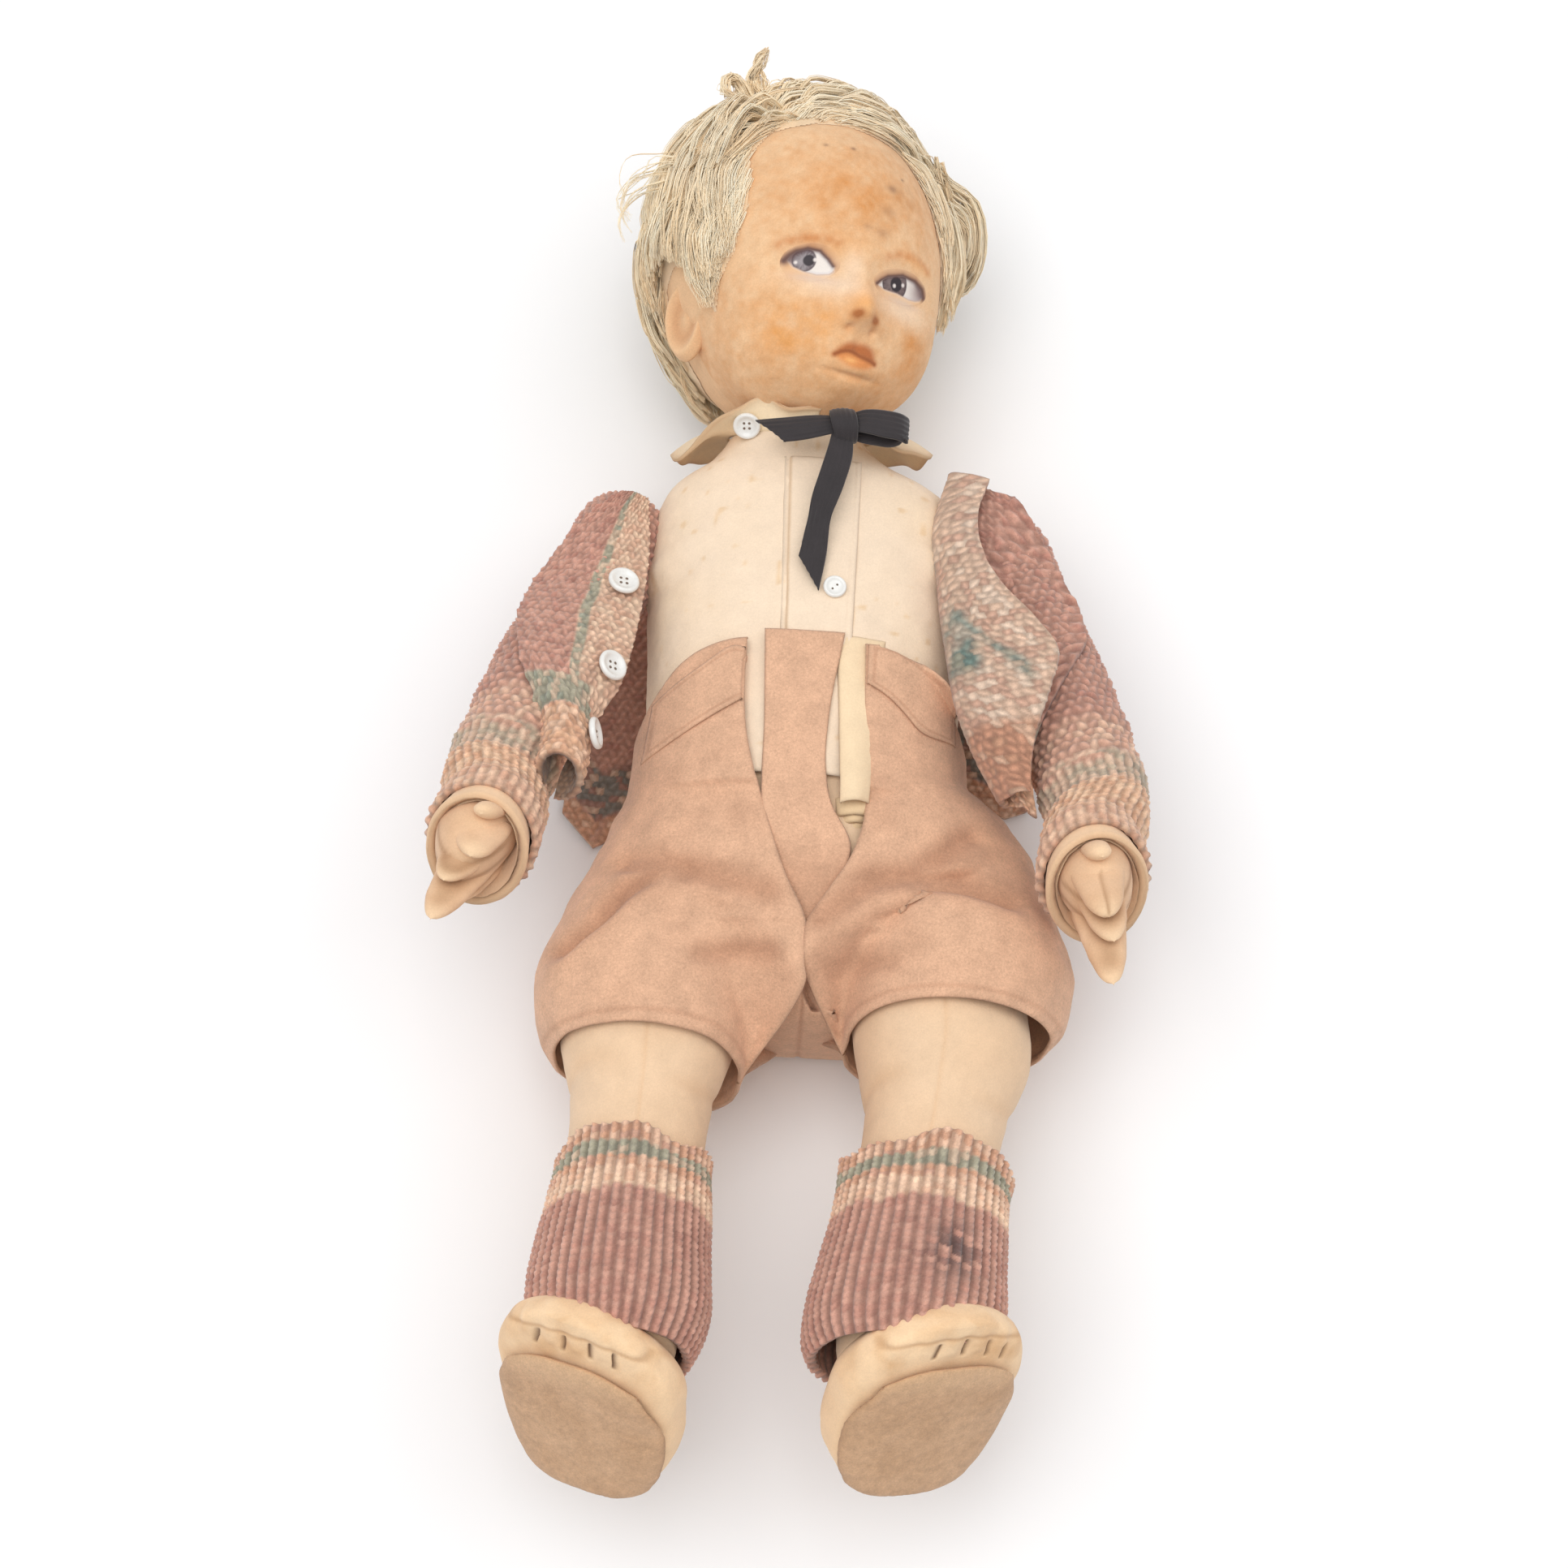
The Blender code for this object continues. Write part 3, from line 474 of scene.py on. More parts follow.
def head_surface(d):
    """Points of the head for unit directions, in its own frame."""
    p = d * HEAD_SIZE
    jaw = np.maximum(0.0, -d[..., 1])
    p[..., 0] *= np.where(d[..., 0] > 0, 0.95, 1.0) - 0.12 * jaw
    p[..., 2] *= np.where(d[..., 2] > 0, 1.0 - 0.10 * jaw * d[..., 2], 1.0)
    push = 6.0 * lump(d, (0, -0.72, 0.69), 0.42) + 1.6 * lump(d, (0, 0.3, 0.95), 0.45)
    for side in SIDES.values():
        push = push + 3.6 * lump(d, (0.56 * side, -0.48, 0.68), 0.36)
        push = push + 4.0 * lump(d, (0.60 * side, -0.70, 0.40), 0.34)
    push = push + spots(p, NOSE_FORM)
    for (x, y), form in ((EYES["right"], EYE_FORM), (EYES["left"], EYE_FORM), (MOUTH, MOUTH_FORM)):
        turned = [(strength, x, y + up, wide, tall, FACE_TILT) for strength, up, wide, tall in form]
        push = push + spots(p, turned)
    return p + d * push[..., None]


def dense(low, high, count, middle, width, more):
    """Values from low to high, closer together about the middle."""
    x = np.linspace(low, high, 2000)
    weight = np.cumsum(1.0 + more * bell(x - middle, width))
    return np.interp(np.linspace(weight[0], weight[-1], count), weight, x)


def directions(lon, lat):
    """Unit directions of the head for each pair of angles round it and up it."""
    lo, la = np.meshgrid(lon, lat)
    return joined(np.sin(lo) * np.cos(la), np.sin(la), np.cos(lo) * np.cos(la))


STAINS = [(1.1, 0, 13, 27, 15), (0.9, -20, -25, 13, 12), (0.8, 18, -28, 11, 11), (0.7, 0, -20, 8, 6),
          (0.6, 0, -40, 20, 8)]
WORN = [(1.0, 2, 12, 26, 12), (1.0, -22, -28, 13, 11), (0.6, 4, -40, 22, 7), (0.5, 18, -30, 9, 9)]
BLUSH = [(0.35, -8, -4, 8, 3), (0.8, -1.3, -17.5, 4.2, 4.6), (0.5, 16, -4.2, 6, 1.8, -0.3)]
PALE = [(0.6, -10, -14.5, 10, 3.2, -0.1), (0.6, 13, -18.5, 9, 3.4, -0.15), (0.5, -4.5, -9, 3, 5)]
# Painted shade of the lower-lid crease under each eye
UNDER_EYE_SHADE = [(0.5, -14.5, -12.6, 6.5, 1.3, -0.12), (0.5, 13.4, -15.8, 6.0, 1.2, -0.12)]
BROWS = [(0.75, 1.5, [(-23.4, -3.4), (-20.2, -2.4), (-16.9, -1.7), (-13.5, -1.9), (-9.2, -2.8)]),
         (0.65, 1.4, [(6.2, -4.8), (10.2, -3.2), (14.4, -3.0), (18.2, -3.6), (21.2, -5.1)])]
NOSTRILS = [(-3.7, -22.5), (2.6, -23.3)]
# Dark marks: x, y, size, strength
MARKS = [(-9.5, 27.5, 0.7, 0.7), (-2.0, 27.0, 0.8, 0.8), (8.0, 15.5, 1.7, 0.6), (13.0, 20.0, 0.6, 0.8),
         (6.0, 8.0, 2.4, 0.3), (3.6, 1.5, 2.2, 0.35), (-1.0, 2.5, 1.4, 0.3)]
LIP_LINE = [(-7.1, -32.5), (-4.9, -31.6), (-2.6, -31.5), (0.4, -32.6), (3.2, -33.3), (5.2, -33.9)]
UPPER_LIP = [(-7.6, -32.4), (-5.9, -30.8), (-3.9, -29.5), (-1.1, -29.3), (3.1, -30.2), (5.4, -33.9)]
LOWER_LIP = [(5.2, -34.1), (3.6, -35.3), (1.0, -35.9), (-2.0, -35.6), (-4.7, -34.4), (-6.9, -32.7)]
# Painted highlight on the lower lip
LIP_HIGHLIGHT = (-2.6, -33.9, 1.8, 0.8, FACE_TILT)


def skin_paint(p):
    """Stained felt of the head: paler at its edges, orange on cheeks, brow, nose and chin."""
    lumps = noise(p, 9.0, 3, 4)
    mid = noise(p, 4.2, 12, 3)
    fine = noise(p, 1.9, 8, 2)
    front = p[:, 2] > 0
    stain = spots(p, STAINS)
    stain = stain * (0.72 + 0.45 * lumps + 0.35 * mid) + 0.3 * fine * (stain > 0.1)
    colour = mix_at(FACE_C, lin(212, 148, 90), np.clip(stain, 0, 1))
    worn = np.clip(noise(p, 6.5, 14, 3) + 0.5 * mid - 0.15, 0, 1) * np.clip(spots(p, WORN), 0, 1)
    colour = mix_at(colour, lin(194, 138, 90), np.clip(0.7 * worn, 0, 0.5))
    hot = 1.4 * spot(p, -17, -25, 8.0, 7.0) * (0.6 + 0.8 * lumps + 0.5 * mid) + spots(p, BLUSH)
    colour = mix_at(colour, lin(234, 166, 94), np.clip(hot, 0, 0.85))
    colour = mix_at(colour, lin(238, 214, 188), np.clip(spots(p, PALE), 0, 0.9))
    # painted shade under the eyes
    colour = mix_at(colour, lin(206, 184, 172), np.clip(spots(p, UNDER_EYE_SHADE), 0, 1))
    brow = sum(strength * bell(to_line(p[:, :2], line), width) for strength, width, line in BROWS)
    colour = mix_at(colour, lin(198, 128, 76), np.clip(brow * front * (0.8 + 0.4 * fine), 0, 1))
    for x, y in NOSTRILS:
        colour = mix_at(colour, lin(166, 98, 52), np.clip(1.2 * spot(p, x, y, 1.5, 1.3), 0, 0.9))
    for x, y, size, strength in MARKS:
        colour = mix_at(colour, lin(136, 100, 78), strength * spot(p, x, y, size, size * 0.7))
    return mouth_paint(colour, p)


def mouth_paint(colour, p):
    """Painted lips over the skin: upper, lower, a painted highlight on the lower lip and the line between."""
    flat = p[:, :2]
    front = p[:, 2] > 0
    line = along(LIP_LINE, 30)
    upper = np.concatenate([along(UPPER_LIP, 30), line[::-1]])
    lower = np.concatenate([line, along(LOWER_LIP, 30)])
    colour = mix_at(colour, lin(180, 104, 58), 0.95 * step(inside(flat, upper), -1.5, 1.1) * front)
    colour = mix_at(colour, lin(216, 138, 80), 0.95 * step(inside(flat, lower), -1.2, 0.9) * front)
    # painted highlight on the lower lip
    colour = mix_at(colour, lin(244, 184, 118), 0.8 * spot(p, *LIP_HIGHLIGHT))
    return mix_at(colour, lin(134, 68, 38), 0.8 * bell(to_line(flat, line), 0.65) * front)


EYE_SHAPES = {
    "right": {
        "lids": [(-21.3, -7.6), (-20.5, -6.4), (-19.2, -5.4), (-16.7, -4.7), (-13.5, -5.3), (-11.1, -7.3),
                 (-9.5, -9.4), (-9.6, -10.6), (-10.6, -11.3), (-13.7, -11.5), (-17.0, -10.7), (-19.8, -9.4)],
        "lash": [(-22.2, -7.7), (-20.8, -6.3), (-19.3, -5.3), (-16.7, -4.5), (-13.5, -5.1), (-11.1, -7.2),
                 (-9.7, -9.0)],
        "iris": (-17.2, -7.6, 3.1),
        "pupil": (-16.0, -7.6, 1.5),
        "glints": [(-14.4, -7.4, 0.5), (-19.3, -8.2, 0.45)],
        "corner": (-20.4, -7.4),
        "tone": (lin(156, 148, 150), lin(110, 98, 100))},
    "left": {
        "lids": [(3.8, -12.5), (5.2, -11.0), (7.0, -9.8), (12.0, -8.6), (16.6, -9.2), (19.4, -10.8),
                 (20.2, -12.4), (19.2, -13.7), (17.6, -14.2), (15.2, -14.3), (10.9, -13.5), (6.0, -13.3)],
        "lash": [(3.2, -12.3), (4.9, -10.9), (7.0, -9.6), (12.0, -8.4), (16.8, -9.0), (19.8, -10.6),
                 (20.6, -12.6)],
        "iris": (9.6, -11.1, 4.4),
        "pupil": (10.2, -11.1, 2.0),
        "glints": [(12.6, -10.9, 0.5), (9.6, -11.6, 0.5)],
        "corner": (18.8, -12.0),
        "tone": (lin(128, 112, 110), lin(90, 74, 74))},
}


def eye_paint(p, shape):
    """Painted eye over the skin: white, iris, pupil, glints and lash line."""
    flat = p[:, :2]
    colour = skin_paint(p)
    d = inside(flat, shape["lids"])
    lash = to_line(flat, shape["lash"])
    colour = mix_at(colour, lin(160, 112, 92), 0.6 * bell(lash, 1.7))
    colour = mix_at(colour, lin(232, 223, 215), step(d, -0.6, 0.5))
    colour = mix_at(colour, lin(205, 198, 200), step(d, 0.0, 0.3) * (1 - step(d, 0.3, 1.1)) * 0.5)
    end = np.linalg.norm(flat - np.array(shape["corner"]), axis=1)
    # painted shade of the lash: greyer white toward the outer corner
    colour = mix_at(colour, lin(150, 126, 124), 0.85 * step(d, -0.2, 0.3) * bell(end, 3.2))
    x, y, r = shape["iris"]
    off = flat - np.array([x, y])
    far = np.linalg.norm(off, axis=1)
    ring = step(far, r + 0.2, r - 0.2) * step(d, -0.1, 0.2)
    rays = noise(np.stack([np.arctan2(off[:, 1], off[:, 0]) * 4, far * 0.4, far * 0], 1), 0.5, 5, 2)
    tone = mix(*shape["tone"], np.clip(0.5 + 0.5 * rays + (far / r - 0.7), 0, 1)[:, None])
    tone = mix_at(tone, lin(84, 74, 78), step(far, r - 0.7, r) * 0.8)
    colour = mix_at(colour, tone, ring)
    shade = ring * step(off[:, 1], 0.3 * r, r)
    colour = mix_at(colour, lin(92, 78, 84), 0.6 * shade)
    x, y, r = shape["pupil"]
    far = np.linalg.norm(flat - np.array([x, y]), axis=1)
    colour = mix_at(colour, lin(52, 46, 50), step(far, r + 0.25, r - 0.25) * 0.95)
    for x, y, r in shape["glints"]:
        far = np.linalg.norm(flat - np.array([x, y]), axis=1)
        colour = mix_at(colour, lin(236, 226, 220), 0.9 * step(far, r + 0.3, r - 0.3))
    width = 0.55 + 1.0 * bell(end, 3.0)
    k = bell(lash, width)
    colour = mix_at(colour, lin(88, 60, 58), 0.9 * k)
    low = (1 - step(np.abs(d), 0.0, 0.35)) * (lash > 1.2)
    return mix_at(colour, lin(176, 142, 124), 0.5 * low)


def build_head():
    lon = dense(-math.pi, math.pi, 421, 0.0, 0.75, 2.2)[:-1]
    lat = dense(-1.5, 1.5, 300, -0.35, 0.5, 1.6)
    local, faces = capped(head_surface(directions(lon, lat)))
    fuzz = noise(local, 1.4, 31, 2) * 0.07 + noise(local, 6.0, 33, 2) * 0.12
    verts = head_place(local + unit(local) * fuzz[:, None])
    head = piece("head_felt", verts, faces, FELT_FACE, "head", skin_paint(local), local)
    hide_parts("head")


def build_eye(side, shape):
    """Painted eye on its own fine patch, just over the skin."""
    rows, cols = 96, 150
    lids = np.array(shape["lids"])
    low, high = lids.min(0) - 2.2, lids.max(0) + 2.0
    want = joined(*np.meshgrid(np.linspace(low[0], high[0], cols), np.linspace(low[1], high[1], rows)))
    reach = (((want - (low + high) / 2) / (high - low) * 2) ** 2).sum(-1)
    d = unit(joined(want[..., 0], want[..., 1], np.full((rows, cols), 38.0)))
    for _ in range(12):
        d[..., :2] += (want - head_surface(d)[..., :2]) / 42.0
        d = unit(d)
    patch = head_surface(d) + d * 0.12
    faces = quads(rows, cols)
    faces = faces[(reach < 1.0).ravel()[faces].all(1)]
    used, faces = np.unique(faces, return_inverse=True)
    flat = patch.reshape(-1, 3)[used]
    flat = flat - unit(flat) * (0.2 * step(reach.ravel()[used], 0.8, 1.0))[:, None]
    tint = eye_paint(flat, shape)
    piece("eye_" + side, head_place(flat), faces.reshape(-1, 4), EYE_PAINT, "head", tint, flat)


def build_neck():
    rise = np.linspace(0.4, 26, 30)
    half = np.full(30, 16.0)
    grid = ring_grid(NECK + NECK_UP * rise[:, None], half, half, HEAD_AXES[:, 0], HEAD_AXES[:, 2], 64)
    verts, faces = capped(grid)
    neck = piece("neck_felt", verts, faces, FELT_FACE, "head", lin(214, 160, 110))


build_head()
for side_name, eye_shape in EYE_SHAPES.items():
    build_eye(side_name, eye_shape)
build_neck()


# Torso, shirt and what is sewn to it
# Rows of the torso: y, half width, half depth, height of its middle, shift of its middle
SHIRT_ROWS = np.array([(-64, 24, 18, 34, 0), (-56, 36, 28, 34.5, 0), (-35, 41, 31, 34.5, 0),
                       (-5, 42, 30, 35.5, 0), (20, 41, 28, 36, 0), (48, 42.5, 28, 35, 0), (74, 44, 26, 34, 0),
                       (88, 41.5, 23.5, 34.5, -0.5), (96, 35.5, 20.5, 35.5, -2), (102, 25, 18.4, 36.4, -4),
                       (108.8, 18.4, 16.8, 37.6, -5), (114, 17, 16, 38.5, -5)], float)
SHIRT_EASE = 2.2


def torso_grid(top, bottom, rows, around, grow):
    """Rings of the torso between two heights, grown outward."""
    y = np.linspace(top, bottom, rows)
    w, d, z, x = table(SHIRT_ROWS, y)
    return ring_grid(np.stack([x, y, z], 1), w + grow, d + grow, X_AXIS, Z_AXIS, around)


def shirt_front(x, y, lift=0.0):
    """Height of the shirt's front over a place of the chest."""
    w, d, z, mid = table(SHIRT_ROWS, y)
    t = np.clip((x - mid) / (w + SHIRT_EASE), -0.98, 0.98)
    return z + (d + SHIRT_EASE) * np.sqrt(1 - t * t) + lift


def strip(corners, rows, cols):
    """Flat grid between four corners: start left, start right, end right, end left."""
    a, b, c, d = (np.asarray(k, float) for k in corners)
    v = np.linspace(0, 1, rows)[:, None, None]
    u = np.linspace(0, 1, cols)[None, :, None]
    return (a * (1 - u) + b * u) * (1 - v) + (d * (1 - u) + c * u) * v


def felt_sheet(name, grid, thick, mat, body, colour, seed, flip=False, wrap=False, roll=0.5):
    """Piece of felt from a grid of its outer face: softened edges, small unevenness, painted shade along the
    rolled edges and on the inner face.
    """
    rows, cols = grid.shape[:2]
    r = np.minimum(np.arange(rows), np.arange(rows)[::-1])[:, None] + np.zeros((rows, cols))
    if not wrap:
        r = np.minimum(r, np.minimum(np.arange(cols), np.arange(cols)[::-1])[None, :])
    size = np.linalg.norm(np.diff(grid, axis=0), axis=2).mean()
    edge = bell(r * size, 0.6)
    n = grid_normals(grid, wrap) * (-1.0 if flip else 1.0)
    wave = noise(grid, 2.0, seed, 2) * 0.10 + noise(grid, 9.0, seed + 3, 2) * 0.20
    face = grid + n * (wave - roll * edge)[..., None]
    verts, faces = shell(face, thick - roll * edge * 1.2, wrap, flip)
    tint = np.broadcast_to(colour, (rows, cols, 3)).reshape(-1, 3)
    # painted shade: darker where the edge rolls away; the inner face below is a darker shaded copy of the
    # outer
    tint = mix(tint, tint * 0.86, 0.8 * edge.reshape(-1, 1))
    flat = grid.reshape(-1, 3)
    return piece(name, verts, faces, mat, body, np.concatenate([tint, tint * 0.9]),
                 np.concatenate([flat, flat + 3.0]))


def build_torso():
    grid = torso_grid(114, -44, 90, 96, 0.0)
    middle = grid.mean(1, keepdims=True)
    grid = middle + (grid - middle) * (1 - 0.3 * step(grid[..., 1:2], -24, -44))
    verts, faces = capped(grid)
    torso = piece("torso_felt", verts, faces, FELT_BODY, "body", SKIN)
    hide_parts("torso")


def build_shirt():
    grid = torso_grid(109.5, 1.0, 190, 260, SHIRT_EASE)
    wide, y = np.abs(grid[..., 0]), grid[..., 1]
    under_arm = step(wide, 22, 38)
    fold = 0.9 * bell(y - 70 + 0.5 * (wide - 36), 4.0) * under_arm
    fold = fold - 0.8 * bell(y - 62 + 0.4 * (wide - 36), 3.5) * under_arm
    fold = fold + 0.7 * noise(grid, 22.0, 41, 2) + 0.25 * noise(grid, 7.0, 43, 2)
    grid = grid + outward(grid) * fold[..., None]
    stain = np.clip(0.5 + 0.9 * noise(grid, 14.0, 45, 3), 0, 1)
    tint = mix_at(SHIRT_C, lin(240, 214, 180), 0.55 * stain * step(wide, 10, 45) + 0.12 * stain)
    specks = np.clip((noise(grid, 3.0, 46, 1) - 0.62) * 5, 0, 1)
    tint = mix_at(tint, lin(222, 184, 134), 0.5 * specks)
    shirt = felt_sheet("shirt_felt_body", grid, SHIRT_THICK, FELT_SHIRT, "body", tint, 51,
                       wrap=True)
    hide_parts("shirt_body")


def build_placket():
    rows, cols = 150, 54
    grid = strip([(-8.6, 98, 0), (12.6, 98, 0), (12.2, 37, 0), (-6.8, 37, 0)], rows, cols)
    u = np.linspace(0, 1, cols)[None, :]
    grid[..., 2] = shirt_front(grid[..., 0], grid[..., 1], 0.9)
    grid[..., 2] -= 0.75 * bell(u - 0.03, 0.03) + 0.3 * bell(u - 0.92, 0.015)
    tint = mix_at(SHIRT_C, lin(190, 150, 104), 0.55 * bell(u - 0.06, 0.02) + np.zeros((rows, 1)))
    placket = felt_sheet("placket", grid, PLACKET_THICK, FELT_SHIRT, "body", tint, 53,
                         flip=True, roll=0.3)
    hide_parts("shirt_placket")


def build_tail():
    """Shirt tail hanging out beside the fly, with the three folds at its end."""
    rows, cols, fold_rows = 120, 34, 24
    u = np.linspace(0, 1, cols)[None, :]
    v = np.linspace(0, 1, rows)[:, None]
    grid = strip([(8.0, 42, 0), (21.5, 42, 0), (19.2, -6.5, 0), (10.5, -7.5, 0)], rows, cols)
    grid[..., 2] = shirt_front(grid[..., 0], grid[..., 1], 0.6) + 3.2 * np.sin(np.pi * u) ** 0.7 * v + 1.2 * v
    tail = felt_sheet("shirt_tail_felt", grid, PLACKET_THICK, FELT_SHIRT, "body",
                      lin(238, 212, 176), 55, flip=True)
    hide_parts("shirt_tail")
    v = np.linspace(0, 1, fold_rows)[:, None]
    rounded = 2.0 * np.sin(np.pi * u) + 1.1 * np.sqrt(np.clip(1 - (2 * v - 1) ** 2, 0, 1))
    for k in range(3):
        down, narrow = 1.8 * k, 0.3 * k
        grid = strip([(9.6 + k, -4.5 - down, 0), (19.6 - narrow, -3.5 - down, 0),
                      (19.3 - narrow, -9.5 - down, 0), (10.2 + k, -10.3 - down, 0)], fold_rows, cols)
        grid[..., 2] = 64.2 - 1.7 * k + rounded
        felt_sheet("shirt_tail_fold_%d" % (k + 1), grid, 0.9, FELT_SHIRT, "body",
                                lin(228, 198, 158), 57 + k, flip=True, roll=0.3)


# Collar round the neck, by the angle from the left over the front: turn, rise and reach of its edge
COLLAR_TURN = [-282, -260, -235, -220, -203, -180, -135, -90, -45, 0, 22, 45, 60, 70]
COLLAR_RISE = [4.2, 4.6, 5.6, 0.5, -9.5, -7.5, -6, -5.5, -6, -7, -8, -5, 0.5, 3.6]
COLLAR_REACH = [25.5, 26, 27, 32, 37, 35, 31, 29, 31, 36, 37.5, 34, 28, 26]
COLLAR_TREE = []
SIGHT = Vector((0, 0.342, -0.94))


def build_collar():
    axis = unit([-0.041, 0.95, 0.30])
    front = unit(Z_AXIS - axis * axis[2])
    side = np.cross(axis, front)
    cols, rows = 300, 26
    phi = np.linspace(COLLAR_TURN[0], COLLAR_TURN[-1], cols)
    up = spline(COLLAR_TURN, COLLAR_RISE, phi) + 1.1 * np.sin(np.radians(phi * 7.0))
    up = up + 0.6 * np.sin(np.radians(phi * 13.0 + 40))
    far = spline(COLLAR_TURN, COLLAR_REACH, phi) + 0.5 * np.sin(np.radians(phi * 9.0))
    v = np.linspace(0, 1, rows)[:, None]
    r = mix(20.6, far[None, :], v)
    h = mix(-1.6, up[None, :], v ** 1.3) + 2.2 * np.sin(np.pi * v)
    c, s = np.cos(np.radians(phi)), np.sin(np.radians(phi))
    grid = NECK + axis * h[..., None] + side * (r * c)[..., None] + front * (r * s * 0.97)[..., None]
    tint = mix_at(lin(244, 222, 188), lin(214, 168, 122), 0.7 * v ** 8 + np.zeros((1, cols)))
    COLLAR_TREE.append(BVHTree.FromPolygons(grid.reshape(-1, 3).tolist(), quads(rows, cols).tolist()))
    collar = felt_sheet("collar_felt", grid, SHIRT_THICK, FELT_SHIRT, "body", tint, 61,
                        flip=True, roll=0.25)
    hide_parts("shirt_collar")


# Ribbon pieces: node, middle line, width and facing along it, rows, bow and slant of the end
RIBBONS = {
    "ribbon_left_end": (
        "ribbon_end_right", [(6.5, 103.6, 68.4), (1, 102.6, 68.6), (-6, 101.6, 67.8), (-13.6, 101.2, 66.2)],
        [5.0, 6.6, 7.4, 7.8], [(0, 0.15, 1), (0.05, -0.05, 1), (0, 0.1, 1)], 70, 0.7, -4.2),
    "ribbon_loop": (
        "ribbon_loop_left", [(7.5, 104, 68.6), (12, 104, 70.2), (18, 103.6, 70.0), (23.4, 103.2, 68.4),
                             (24.6, 103, 67.0), (22.5, 102.6, 66.0), (15, 102.4, 66.0), (8, 102.6, 66.4)],
        [4.6, 7.0, 8.0, 8.2, 8.2, 7.8, 7.0, 5.0],
        [(0, 0.1, 1), (0, 0.05, 1), (0.2, 0, 1), (1, 0, 0.4), (0.9, 0, -0.5), (0.2, 0, -1), (0, 0, -1)],
        110, 0.3, 0.0),
    "ribbon_knot_wrap": (
        "ribbon_knot", [(5.6, 107.2, 66.5), (5.8, 107.4, 69.0), (6.6, 104.5, 71.2), (7.4, 100.8, 70.6),
                        (7.6, 98.8, 68.6), (7.4, 98.9, 66.4)],
        [6.0, 6.6, 7.2, 7.0, 6.4, 6.0],
        [(0, 1, 0.2), (0, 0.5, 1), (0, 0, 1), (0, -0.6, 1), (0, -1, 0.1)], 60, 0.6, 0.0),
    "ribbon_hanging_end": (
        "ribbon_tail", [(6.6, 101.5, 68.8), (6.2, 95, 68.6), (4.4, 87, 68.4), (2.2, 79, 68.0),
                        (1.2, 73, 67.8), (0.6, 66, 67.8), (-0.6, 58.5, 67.6)],
        [5.5, 7.2, 7.4, 7.2, 6.4, 7.2, 7.6],
        [(0, 0, 1), (0.2, 0, 1), (0.1, 0, 1), (-0.3, 0, 1), (0.25, 0, 1), (-0.05, 0, 1)], 110, 0.3, 4.4),
}


def build_ribbon(name, node, middle, wide, facing, rows, bow, slant):
    """Strip of ribbon along a middle line, with its width and its facing at each mark."""
    middle = along(middle, rows)
    marks = np.linspace(0, 1, rows)
    w = spline(np.linspace(0, 1, len(wide)), wide, marks)
    n = unit(spline(np.linspace(0, 1, len(facing)), facing, marks))
    t = unit(np.gradient(middle, axis=0))
    across = unit(np.cross(n, t))
    u = np.linspace(-1, 1, 22)
    grid = middle[:, None] + across[:, None] * (u[None, :, None] * w[:, None, None] / 2)
    grid = grid + n[:, None] * (bow * (1 - u[None, :, None] ** 2) + 0.1 * np.sin(u * 16)[None, :, None])
    grid = grid + t[:, None] * (step(marks, 0.75, 1.0)[:, None] * slant * u[None, :])[..., None]
    verts, faces = shell(grid, RIBBON_THICK, False, True)
    obj = piece(name, verts, faces, RIBBON, "body", BLACK)
    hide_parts(node)


build_torso()
build_shirt()
build_placket()
build_tail()
build_collar()
for ribbon_name, ribbon in RIBBONS.items():
    build_ribbon(ribbon_name, *ribbon)


# Legs, socks and feet
LEG_TILT = math.radians(15)
LEG_AXIS = np.array([0, -math.cos(LEG_TILT), math.sin(LEG_TILT)])
LEG_UP = np.array([0, math.sin(LEG_TILT), math.cos(LEG_TILT)])
LEG_TOP = np.array([39.0, -30.0, 34.0])
# Rows of the leg: way along it, shift inward, half width, half depth
LEG_ROWS = np.array([(-21, 9, 12, 13), (-14, 8, 17.5, 21), (0, 6.5, 21.8, 24.5), (20, 2.5, 23, 24.5),
                     (40, 0, 23.2, 23.5), (60, 0, 18.6, 18.4), (80, 0, 17.6, 17.4), (118, 0, 17, 17),
                     (150, 0, 12, 13)], float)
LEG_LEAN = {1.0: ([20, 45, 60, 80, 125], [3.0, 3.0, 1.5, -1.2, -6.0]),
            -1.0: ([20, 45, 70, 100, 130], [3.0, 3.0, 2.3, 1.2, 0.6])}
HEEL_AXIS = np.array([0, 0.548, 0.837])
SOLE_OUT = np.array([0, -0.837, 0.548])
# Rows of the foot: way along the sole, half width, height
FOOT_ROWS = np.array([(-4.5, 10, 11), (-2.3, 15.4, 17), (2, 19.4, 22), (9, 22.2, 24.5), (20, 23.8, 24),
                      (31, 24.6, 21), (38.5, 22.2, 17.6), (44, 18.6, 14.6), (48.5, 12.8, 11.4), (51.5, 7, 8)],
                     float)
FOOT_AT = {1.0: np.array([35.2, -177.8, 47.6]), -1.0: np.array([-40.7, -181.6, 47.6])}
FOOT_ROLL = math.radians(24)
FOOT_TURN = {-1.0: math.radians(5), 1.0: math.radians(13)}
# Place across the foot and along it of each stitch between the toes
TOE_STITCHES = {-1.0: [(-9.8, 0.0), (-1.8, 0.6), (6.0, 0.8), (12.4, -0.6)],
                1.0: [(-6.4, 0.2), (1.6, 0.8), (9.0, -0.4), (14.2, -2.4)]}
SOCK_TOP = {1.0: 74.0, -1.0: 76.5}
SOCK_END = {1.0: 128.5, -1.0: 131}
SOCK_EASE = {1.0: 1.9, -1.0: 0.0}
SOCK_ROUND = 126.0
SOCK_RIBS = 45
SOCK_ROWS = np.array([(74, 20.2, 20.2), (80, 19.9, 19.9), (88, 20.5, 20.6), (101, 21.8, 21.8),
                      (112, 22.8, 22.4), (120, 22.8, 22.2), (126, 21.6, 21.4), (131, 19.2, 19.4)], float)


